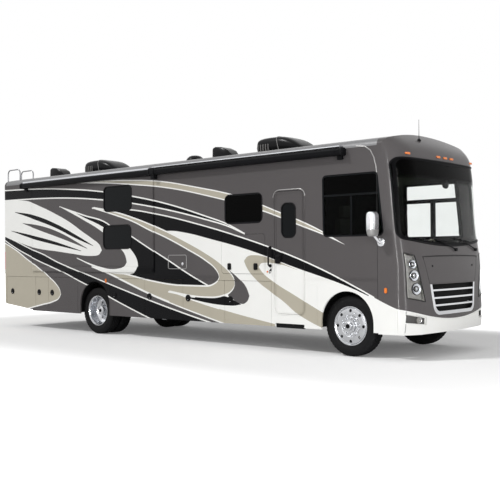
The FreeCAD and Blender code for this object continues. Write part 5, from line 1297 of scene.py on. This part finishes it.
def mirror_arm(side, end):
    """A mirror's oval foot on the cap and the bent arm from it to the head."""
    x = at(0.635)
    y = landing(("front_cap", "wall_right", "wall_left"), (x, side * beside, 1.755), (0, -side, 0)).y
    plate = [(x + a, y - side * 0.004, b) for a, b in rounded((-0.062, 0.055, 1.694, 1.815), 0.045)]
    elbow = Vector((x - 0.02, y + side * 0.06, 1.775))
    bends = [Vector((x, y + side * 0.01, 1.75)), elbow, elbow.lerp(end, 0.5), end]
    return Shape().slab(plate, (0, side * 0.022, 0), 0.005).tube(bends, [0.028, 0.026, 0.022, 0.022], 14)


# Cab

# Dividers inside a cab window: stations from and to, heights from and to
cab_bars = ((-0.44, 0.62, 2.465, 2.535), (0.075, 0.165, 1.86, 2.50), (-0.455, -0.395, 1.86, 2.81),
            (-0.44, 0.68, 1.840, 1.880), (-0.44, 0.57, 2.775, 2.820))
cab_post = ((0.535, 2.80), (0.590, 2.80), (0.690, 1.85), (0.630, 1.85))
bar_inner, bar_outer = 1.205, 1.240
mirror_pod = [(-0.03, 0.0), (-0.03, 0.055), (-0.01, 0.068), (0.02, 0.068), (0.03, 0.055), (0.03, 0.0)]


def cushion(name, low, high, crown, axis):
    """A crowned pad: the face along axis bulges, the sides pull in between the corners."""
    low, high = Vector(low), Vector(high)
    shape = Shape()
    bmesh.ops.create_cube(shape.mesh, size=2.0)
    bmesh.ops.subdivide_edges(shape.mesh, edges=list(shape.mesh.edges), cuts=5, use_grid_fill=True)
    centre, half = (low + high) / 2, (high - low) / 2
    others = [i for i in range(3) if i != axis]
    for vert in shape.mesh.verts:
        u = vert.co.copy()
        fall = (1 - u[others[0]] ** 2) * (1 - u[others[1]] ** 2)
        point = Vector((u[i] * half[i] for i in range(3)))
        point[axis] += crown * fall * (1 if u[axis] > 0 else 0.0) - crown * 0.6 * (1 - fall) * (u[axis] > 0.9)
        for i in others:
            point[i] *= 1 - 0.03 * (1 - u[axis] ** 2)
        vert.co = centre + point
    made = shape.piece(name, "seat_fabric", smooth=80, subdivide=1)
    return made


def make_seats():
    """Two seats, each of three cushions on a base with arm rests."""
    low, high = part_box("cab_seats")
    x, end, foot, top = low.x, high.x, low.z, high.z
    for side, tag in SIDES:
        y = side * 0.60
        name = f"seat_{tag}_"
        pads = (("cushion", (x + 0.14, y - 0.26, foot + 0.36), (end - 0.01, y + 0.26, foot + 0.48), 0.03, 2),
                ("back", (x + 0.02, y - 0.25, foot + 0.46), (x + 0.15, y + 0.25, top - 0.22), 0.03, 0),
                ("headrest", (x + 0.03, y - 0.14, top - 0.20), (x + 0.13, y + 0.14, top - 0.01), 0.02, 0))
        cushions = [cushion(name + part, *rest) for part, *rest in pads]
        base = Shape().block((x + 0.20, y - 0.19, foot + 0.002), (end - 0.14, y + 0.19, foot + 0.35), 0.02)
        for arm in (-1, 1):
            arm_y = y + arm * 0.285
            base.block((x + 0.16, arm_y - 0.03, foot + 0.60), (x + 0.50, arm_y + 0.03, foot + 0.66), 0.02)
        base.piece(name + "base", "dash_plastic")
        if side == RIGHT:
            for made in cushions:
                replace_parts(made, "cab_seats")


def make_cab_details():
    """The rear-view mirror behind the windshield and the heavy dividers inside the cab's side windows."""
    y, z = 0.06, 2.67
    x = on_front(y, z, ("windshield",)).x - 0.07
    stem = [(x, y, z + 0.05), (x + 0.005, y, z + 0.12), (x - 0.01, y, z + 0.20)]
    mirror = Shape().turned((x, y, z), (1, 0, 0), mirror_pod, 28).tube(stem, 0.010)
    mirror.piece("rear_view_mirror", "black_plastic", slot="dash_plastic")
    for side, tag in SIDES:
        inner, outer = sorted((side * bar_inner, side * bar_outer))
        bars = Shape()
        for start, end, low, high in cab_bars:
            bars.block((at(start), inner, low), (at(end), outer, high), 0.006)
        bars.slab([(at(station), inner, z) for station, z in cab_post], (0, outer - inner, 0), 0.004)
        bars.piece(f"cab_window_bars_{tag}", "black_plastic", slot="dash_plastic")


# Stage

world_light = 0.46
stage_reach = 60.0
# The floor turns from plain to pure white over a distance from the coach, in the camera's eyes
plain_half_width, plain_half_length, fade_width, least_glow = 3.0, 7.0, 3.0, 0.10
sun_strength, sun_angle = 1.5, 7.0
sun_place = (-0.9, -1.3, 1.5)
# Each soft light: its place, what it aims at, its size and its power
soft_box = ((13.6, -6.2, 3.0), (5.0, -1.2, 1.9), (1.1, 5.0), 420.0)
strip_box = ((6.3, -10.6, 2.6), (5.1, -1.2, 1.9), (0.9, 5.0), 600.0)


def make_world():
    """White to the camera, through glass and in reflections; dimmer as a light."""
    world = bpy.data.worlds.new("studio")
    scene.world = world
    world.use_nodes = True
    world.node_tree.nodes.clear()
    g = Graph(world.node_tree)
    path = g.nodes.new("ShaderNodeLightPath").outputs
    seen = g.most(g.most(path["Is Camera Ray"], path["Is Transmission Ray"]), path["Is Glossy Ray"])
    strength = g.blend(seen, world_light, 1.0)
    g.end("ShaderNodeOutputWorld", g.add("ShaderNodeBackground", in_Color=(1, 1, 1), in_Strength=strength))


def make_floor():
    """A white floor that keeps the shadow beside the coach and glows to pure white further out."""
    mesh = bpy.data.meshes.new("floor")
    corners = [(x * stage_reach, y * stage_reach, 0) for x, y in ((-1, -1), (1, -1), (1, 1), (-1, 1))]
    mesh.from_pydata(corners, [], [(0, 1, 2, 3)])
    floor = bpy.data.objects.new("floor", mesh)
    scene.collection.objects.link(floor)
    material, g = new_material("floor_white")
    place = g.place()
    x, y, _ = g.split(place)
    off = g.most(g.minus(g.size(y), plain_half_width), g.minus(g.size(x), plain_half_length))
    fade = g.add("ShaderNodeMapRange", interpolation_type="SMOOTHSTEP", in_0=off, in_1=0.0, in_2=fade_width,
                 in_3=least_glow, in_4=1.0)
    seen = g.nodes.new("ShaderNodeLightPath").outputs["Is Camera Ray"]
    color = g.mix(g.noise(place, 0.4), (0.90, 0.90, 0.90), (0.92, 0.92, 0.92))
    g.end("ShaderNodeOutputMaterial", g.add(
        "ShaderNodeBsdfPrincipled", in_Base_Color=color, in_Roughness=0.8, in_Specular_IOR_Level=0.0,
        in_Emission_Color=(1, 1, 1), in_Emission_Strength=g.times(seen, fade)))
    mesh.materials.append(material)


def new_light(name, kind, power, place, aim=(0, 0, 0)):
    """A light of a kind, shining from a place towards another."""
    data = bpy.data.lights.new(name, kind)
    data.energy = power
    light = bpy.data.objects.new(name, data)
    scene.collection.objects.link(light)
    light.rotation_mode = "QUATERNION"
    light.rotation_quaternion = (Vector(place) - Vector(aim)).to_track_quat("Z", "Y")
    return light


def area_light(name, place, aim, size, power):
    light = new_light(name, "AREA", power, place, aim)
    light.data.shape = "RECTANGLE"
    light.data.size, light.data.size_y = size
    light.location = place
    light.visible_camera = False
    return light


def make_lights():
    """The sun, a soft box for the nose, and a strip that only the side's gloss shows."""
    new_light("key", "SUN", sun_strength, sun_place).data.angle = math.radians(sun_angle)
    area_light("soft_box", *soft_box)
    area_light("strip_box", *strip_box).visible_diffuse = False


scene.view_settings.view_transform = "Standard"
for make in (make_camera, make_world, make_floor, make_lights, dress_nodes, make_tyres, make_wheel_details,
             make_latches, make_door_handle, make_grab_rail, make_door_mouldings, make_slide_edges,
             make_side_lines, make_window_gaskets, make_awning, make_roof, make_windshield_trim,
             make_front_lines, make_lamps, make_mirrors, make_seats, make_cab_details):
    make()
